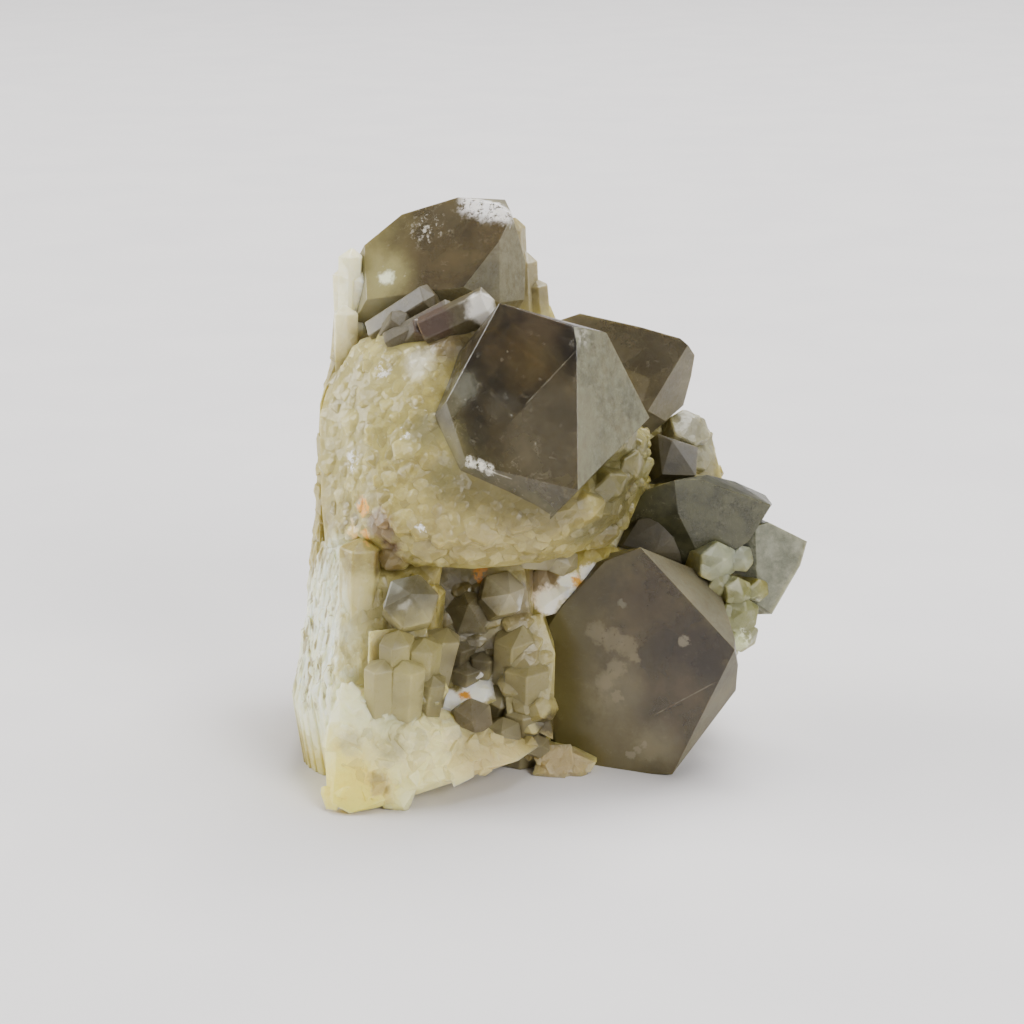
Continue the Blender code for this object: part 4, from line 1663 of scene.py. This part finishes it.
# Name, heading, pitch, reach across and up, spacing, radius, length, how proud, lean, pull of the
# lean, hosts, seed, then the habit and the bare circles.
FIELD_ROWS = (
    ("mantle", 0, 16.4, (-18.8, 10), (14, 40), 1.3, 1.05, 3, 0.14,
     (0.35, -0.5, 0.7), 0.35, ("mantle", "body"), 11, Habit.SCALE, FRONT_ROOTS + RIM),
    ("mantle_steps", 0, 16.4, (-18.8, 10), (14, 40), 3.2, 1.7, 4, 0.28,
     (0.35, -0.5, 0.7), 0.3, ("mantle", "body"), 31, Habit.SCALE, FRONT_ROOTS),
    ("hollow", 0, 16.4, (-10, 3), (0, 16), 1.9, 1.15, 3, 0.5,
     (0.2, -0.8, 0.5), 0.5, ("body", "mantle"), 12),
    ("plates", 0, 16.4, (-14, 5), (-1, 16), 2.3, 1.5, 4, 0.4,
     (0.1, -0.3, 1), 0.35, ("cup", "plate", "left_plate"), 51, Habit.SCALE),
    ("left_druse", 0, 16.4, (-21, -8), (4, 17), 1.7, 1.05, 5, 0.3,
     (0.05, -0.3, 1), 0.85, ("lower_left",), 13),
    ("right_druse", 0, 16.4, (8, 20), (8, 22), 2.2, 1.2, 4, 0.9,
     (0.6, -0.6, 0.4), 0.7, ("right_base",), 14),
    ("right_side", 90, 10, (-12, 18), (8, 36), 3.6, 1.90, 6, 1.2,
     (0.8, -0.2, 0.5), 0.6, ("right_base", "body", "mantle"), 15),
    ("right_sugar", 90, 10, (-12, 18), (4, 36), 1.9, 1.05, 3, 0.5,
     (0.8, -0.2, 0.5), 0.5, ("right_base", "body", "mantle"), 35),
    ("top_side", 0, 80, (-18, 8), (5, 27), 5.2, 2.40, 7, 2.2,
     (0.1, 0.1, 1), 0.7, ("body",), 16),
    ("top_sugar", 0, 80, (-18, 8), (5, 27), 2, 1.1, 3.5, 0.7,
     (0.1, 0.1, 1), 0.5, ("body",), 36),
    ("back_side", 180, 0, (-16, 20), (18, 44), 6, 2.80, 8, 2.6,
     (0.3, 0.8, 0.6), 0.5, ("body",), 17),
    ("back_sugar", 180, 0, (-16, 20), (16, 44), 2.3, 1.3, 4, 0.8,
     (0.3, 0.8, 0.6), 0.5, ("body",), 37),
    ("left_fibres", -60, 10, (-18, 6), (1, 20), 1, 0.75, 7, 0.35,
     (-0.06, -0.04, 1), 0.93, ("lower_left", "body", "foot"), 38, Habit.FIBRE),
    ("back_rock", 180, 0, (-12, 22), (2, 38), 7.5, 5, 2.2, -0.5,
     (0, 1, 0.2), 0.3, ("body", "right_base"), 21, Habit.ROCK),
    ("back_grit", 180, 0, (-16, 24), (0, 38), 2.8, 1.7, 0.9, -0.2,
     (0, 1, 0.2), 0.3, ("body", "right_base"), 41, Habit.ROCK),
    ("left_rock", -90, 0, (-22, 18), (3, 40), 6.5, 4.4, 1.3, -1.05,
     (-1, 0, 0.2), 0.3, ("body", "lower_left", "foot"), 22, Habit.ROCK),
    ("left_grit", -90, 0, (-22, 18), (1, 40), 2.6, 1.7, 0.6, -0.35,
     (-1, 0, 0.2), 0.3, ("body", "lower_left", "foot"), 42, Habit.ROCK),
    ("foot_rock", 0, 16.4, (-21, 10), (-4, 8), 2.8, 1.7, 0.7, -0.34,
     (0, -1, 0.3), 0.25, ("foot", "ledge", "lower_left"), 23, Habit.ROCK),
    ("foot_flakes", 0, 16.4, (-17.4, 10), (-4, 8), 1.6, 1.05, 0.5, -0.18,
     (-0.4, -0.9, 0.3), 0.3, ("foot", "ledge"), 43, Habit.ROCK),
    ("under_rock", 0, -60, (-18, 12), (-14, 8), 7, 4.2, 1.2, -0.4,
     (0, 0, -1), 0.2, ("body", "foot"), 24, Habit.ROCK),
    ("under_grit", 0, -60, (-20, 14), (-16, 10), 3, 1.8, 0.8, -0.3,
     (0, 0, -1), 0.2, ("body", "foot", "ledge"), 44, Habit.ROCK),
)
FIELDS = tuple(Field(*row) for row in FIELD_ROWS)

# Place on the layout sheet, radius and colour, then edge, strength and how broken.
MILK_ZONES = zones(
    (350, 760, 9, (250, 238, 150), 1),
    (440, 765, 6, (250, 238, 166), 1),
    (500, 760, 4, (210, 192, 130), 1),
    (345, 800, 3.5, (252, 230, 104), 1),
    (395, 725, 3, (226, 222, 168), 1.2, 0.7),
    (382, 712, 1.8, (190, 190, 140), 1, 0.7),
    (470, 735, 2, (186, 172, 116), 1.2, 0.6),
    (350, 705, 2.8, (252, 248, 194), 0.9),
    (315, 620, 5, (244, 248, 216), 0.8, 0.9),
    (310, 690, 5, (242, 246, 208), 0.8, 0.9),
    (335, 565, 2.6, (204, 202, 156), 0.8, 0.9),
    (345, 290, 5, (252, 244, 202), 1, 0.95),
    (366, 600, 2.6, (208, 198, 138), 0.8, 0.9),
    (366, 660, 2.6, (206, 198, 140), 0.8, 0.9),
    (400, 650, 2.6, (176, 166, 114), 0.8, 0.9),
    (405, 690, 2.4, (182, 174, 120), 0.8, 0.9),
    (432, 655, 2, (140, 130, 86), 0.8, 0.9),
    (430, 695, 1.6, (132, 124, 84), 0.8, 0.9),
    (350, 420, 6, (190, 180, 108), 1.4, 0.6),
    (375, 350, 5, (182, 171, 108), 1.2, 0.6),
    (480, 525, 6, (174, 159, 104), 1.2, 0.6),
    (560, 540, 5, (150, 137, 82), 1.2, 0.7),
    (645, 465, 4, (100, 95, 44), 1, 0.9),
    (620, 505, 4, (88, 80, 36), 1, 0.9),
    (588, 530, 2, (112, 106, 70), 0.9, 0.8),
    (425, 430, 1.7, (132, 124, 78), 1.2, 0.9),
    # painted shade on the mantle under the front crystal's lower edge, darkening its olive
    (447, 478, 1.8, (124, 116, 70), 1.4, 0.9),
    (475, 492, 2, (112, 102, 60), 1.4, 0.9),
    (508, 500, 2, (112, 102, 60), 1.4, 0.9),
    (540, 506, 2, (112, 102, 60), 1.4, 0.9),
    (568, 510, 1.8, (116, 106, 64), 1.4, 0.9),
    (445, 340, 1.8, (126, 110, 78), 1.2, 0.8),
    # painted highlights: small white glints on the druse
    (418, 362, 1.3, (222, 218, 196), 1.4, 0.7),
    (404, 434, 0.45, (250, 248, 240), 0.6, 1, 0.48),
    (420, 529, 0.4, (250, 248, 240), 0.6, 1, 0.48),
    (615, 475, 3, (94, 88, 42), 1, 0.9),
    (632, 440, 2.4, (100, 94, 50), 1, 0.9),
    (560, 758, 2.6, (172, 152, 108), 1, 0.9),
    # painted shade in the foot's creases and between its facets
    (378, 784, 0.9, (168, 146, 84), 1, 0.7),
    (392, 748, 1.2, (178, 168, 112), 1, 0.7),
    (352, 742, 1, (206, 198, 140), 1, 0.7),
    # painted highlight: a small white glint on the druse
    (382, 370, 0.8, (244, 240, 230), 0.8, 1, 0.46),
    # painted shade in the hollow under the round end
    (462, 600, 3.2, (94, 84, 48), 0.9),
    (468, 655, 3, (88, 80, 50), 0.9),
    (515, 640, 2.6, (150, 138, 98), 1, 0.85),
    (525, 690, 3.2, (156, 146, 104), 1, 0.85),
    (520, 600, 2, (112, 100, 66), 0.8, 0.9),
    (545, 580, 1.6, (150, 132, 100), 0.8, 0.9),
    (549, 600, 1.3, (255, 240, 214), 0.5),
    (570, 588, 1.2, (255, 242, 218), 0.5),
    (590, 572, 0.9, (255, 242, 214), 0.5),
    (452, 703, 1.5, (255, 246, 226), 0.5),
    (480, 688, 1.5, (255, 246, 226), 0.5),
    (379, 526, 1.5, (130, 108, 68), 0.6),
    (365, 506, 0.8, (240, 172, 40), 0.7, 1, 0.38),
    (353, 530, 0.7, (252, 220, 150), 0.7),
    (366, 534, 0.6, (240, 190, 100), 0.7),
    (392, 546, 0.9, (84, 58, 10), 0.6),
    (390, 562, 1.5, (112, 92, 50), 0.8, 0.85),
    (480, 572, 0.6, (210, 140, 40), 0.8, 0.9, 0.40),
    (577, 584, 0.5, (220, 156, 50), 0.8),
    (466, 697, 0.5, (220, 152, 50), 0.8),
    # painted highlight: a small white glint on the druse
    (352, 462, 0.9, (250, 248, 240), 0.8, 1, 0.46),
    (745, 620, 4, (114, 116, 70), 0.9, 0.9),
    (752, 600, 0.9, (246, 248, 232), 0.8, 0.9, 0.44),
    (744, 640, 0.8, (240, 244, 220), 0.8, 0.8, 0.46),
    (738, 672, 1.2, (208, 214, 160), 0.9, 0.8),
    # painted shade in the dark slot at the low crystal's left edge
    (550, 722, 1.2, (66, 56, 24), 0.7, 0.9),
    (722, 556, 2.6, (150, 154, 128), 0.9, 0.9),
    (745, 548, 1.8, (142, 146, 122), 0.9, 0.9),
    (705, 430, 4, (132, 129, 106), 0.9, 0.9),
    (538, 260, 4.5, (146, 136, 102), 0.9, 0.9),
)
STREAKED = zones(
    (320, 590, 4.4, (240, 250, 232), 0.7, 0.8),
    (314, 665, 4.6, (240, 250, 232), 0.7, 0.8),
)
MILK = MilkyQuartz(zones=MILK_ZONES, streaked=STREAKED)


@dataclass
class MilkyMass:
    """The milky, sugary and broken mass that carries the clear crystals."""

    masses: dict[str, tuple[Pick, ...]] = field(default_factory=lambda: dict(MASSES))
    fields: tuple[Field, ...] = FIELDS
    columns: tuple[Column, ...] = COLUMNS
    finish: MilkyQuartz = MILK
    seed: int = 6

    def mesh(self, tips: Sequence[Crystal]) -> BMesh:
        """Grow the mass and leave room in it for the clear crystals.

        Args:
            tips: The clear crystals.

        Returns:
            The closed mass.
        """
        blocks = [
            (name, hull_bmesh([DRAWING.point(*corner) for corner in corners]))
            for name, corners in self.masses.items()
        ]
        for name, bm in blocks:
            paint(bm, "grain", 0.5)
            paint(bm, "rock", 1.0 if name in ("foot", "ledge", "body") else 0.0)
        tree, owners = surface_tree(blocks)
        growths: list[BMesh] = []
        for patch in self.fields:
            grown = patch.grow(tree, owners)
            LOG.info("%s: %d growths", patch.name, len(grown))
            growths += grown
        rng = random.Random(self.seed)
        for column in self.columns:
            if not column.is_clear:
                bm = column.solid(rng)
                paint(bm, "grain", rng.uniform(0.3, 0.8))
                growths.append(bm)
        first = blocks[0][1]
        others = [bm for _, bm in blocks[1:]] + growths
        mass = combined("milky_mass", first, others, "UNION")
        cutters = [tip.cavity() for tip in tips] + [ground_block()]
        mass = combined("milky_mass", mass, cutters, "DIFFERENCE")
        keep_largest(mass)
        return mass

    def build(self, tips: Sequence[Crystal]) -> bpy.types.Object:
        """Make the mass and dress it.

        Args:
            tips: The clear crystals that it leaves room for.

        Returns:
            The piece.
        """
        bm = self.mesh(tips)
        tree = BVHTree.FromBMesh(bm)
        return dress("milky_mass", bm, self.finish.material("milky_quartz", tree))


@dataclass
class BudCrystals:
    """The middle-sized crystals: columns, needles, knobs and buds."""

    columns: tuple[Column, ...] = COLUMNS
    finish: SmokyQuartz = BUDS
    seed: int = 5

    def build(self) -> bpy.types.Object:
        """Make the crystals, joined where they meet, and dress them.

        Returns:
            The piece.
        """
        rng = random.Random(self.seed)
        grown = [column.solid(rng) for column in self.columns if column.is_clear]
        bm = combined("bud_crystals", grown[0], grown[1:], "UNION")
        bm = combined("bud_crystals", bm, [ground_block()], "DIFFERENCE")
        tree = BVHTree.FromBMesh(bm)
        heart = DRAWING.point(0.0, -10.0)
        return dress("bud_crystals", bm, self.finish.material("bud_quartz", tree, heart))


@dataclass
class ClearCrystals:
    """The large smoky crystals."""

    crystals: tuple[Crystal, ...] = CRYSTALS

    def build(self) -> list[bpy.types.Object]:
        """Make each crystal and dress it in its own smoke.

        Returns:
            The pieces.
        """
        made = []
        for crystal in self.crystals:
            bm = combined(crystal.name, crystal.solid(), [ground_block()], "DIFFERENCE")
            tree = BVHTree.FromBMesh(bm)
            tip = DRAWING.point(*crystal.tip)
            finish = crystal.finish.material(f"{crystal.name}_quartz", tree, tip)
            made.append(dress(crystal.name, bm, finish))
        return made


# Name, place, size and power.
LAMPS = (
    ("top", (0.35, 0.50, 1.30), 1.00, 40.0),
    ("left", (-1.20, 0.15, 0.50), 0.60, 20.0),
    ("right", (0.80, -1.00, 0.70), 0.60, 16.0),
)


@dataclass
class Studio:
    """A pale floor, soft lamps and the camera on the display side."""

    floor_size: float = 5.0
    floor_colour: Colour = tone(226, 223, 222)
    sky_colour: Colour = tone(196, 194, 196)
    sky_strength: float = 0.50
    frame_width: float = 90.11
    film_width: float = 36.0
    focus: Pick = (0.0, 0.0, 0.02)

    def build(self) -> None:
        """Set up the floor, the sky, the lamps and the camera."""
        self.floor()
        self.sky()
        for lamp in LAMPS:
            self.lamp(*lamp)
        self.camera()

    def floor(self) -> bpy.types.Object:
        """A pale table top with a faint mottle.

        Returns:
            The floor.
        """
        bm = bmesh.new()
        bmesh.ops.create_grid(bm, x_segments=4, y_segments=4, size=self.floor_size * 0.5)
        bench = Bench("pale_floor")
        mottle = bench.noise(0.05, 3.0, 0.5).ramped(0.3, 0.7)
        colour = bench.blend(mottle, self.floor_colour, tone(222, 219, 219))
        paper = bench.shader({"Base Color": colour, "Roughness": 0.6})
        floor = mesh_object("floor", bm, bpy.context.scene.collection)
        floor.data.materials.append(bench.finish(paper))
        return floor

    def sky(self) -> None:
        """An even pale surround."""
        world = bpy.data.worlds.new("surround")
        world.use_nodes = True
        shade = world.node_tree.nodes["Background"]
        shade.inputs["Color"].default_value = (*self.sky_colour, 1.0)
        shade.inputs["Strength"].default_value = self.sky_strength
        bpy.context.scene.world = world

    def lamp(self, name: str, place: Pick, size: float, power: float) -> None:
        """A soft square lamp that faces the middle of the cluster.

        Args:
            name: The lamp's name.
            place: Where it hangs, in metres.
            size: The length of its side, in metres.
            power: Its power, in watts.
        """
        light = bpy.data.lights.new(name, "AREA")
        light.size = size
        light.energy = power
        made = bpy.data.objects.new(name, light)
        made.location = place
        aim = Vector(self.focus) - Vector(place)
        made.rotation_euler = aim.to_track_quat("-Z", "Y").to_euler()
        bpy.context.scene.collection.objects.link(made)

    def camera(self) -> None:
        """The camera at the drawing's eye."""
        lens = bpy.data.cameras.new("camera")
        lens.sensor_width = self.film_width
        lens.lens = self.film_width * DRAWING.distance / self.frame_width
        lens.clip_start = 0.01
        lens.clip_end = 20.0
        made = bpy.data.objects.new("camera", lens)
        made.location = DRAWING.eye
        made.rotation_euler = (math.radians(90.0 - DRAWING.pitch), 0.0, 0.0)
        bpy.context.scene.collection.objects.link(made)
        bpy.context.scene.camera = made


def main() -> None:
    """Load the frame, and build the cluster and the studio."""
    logging.basicConfig(level=logging.INFO, format="%(message)s")
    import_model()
    ClearCrystals().build()
    BudCrystals().build()
    MilkyMass().build(CRYSTALS)
    Studio().build()


if __name__ == "__main__":
    main()
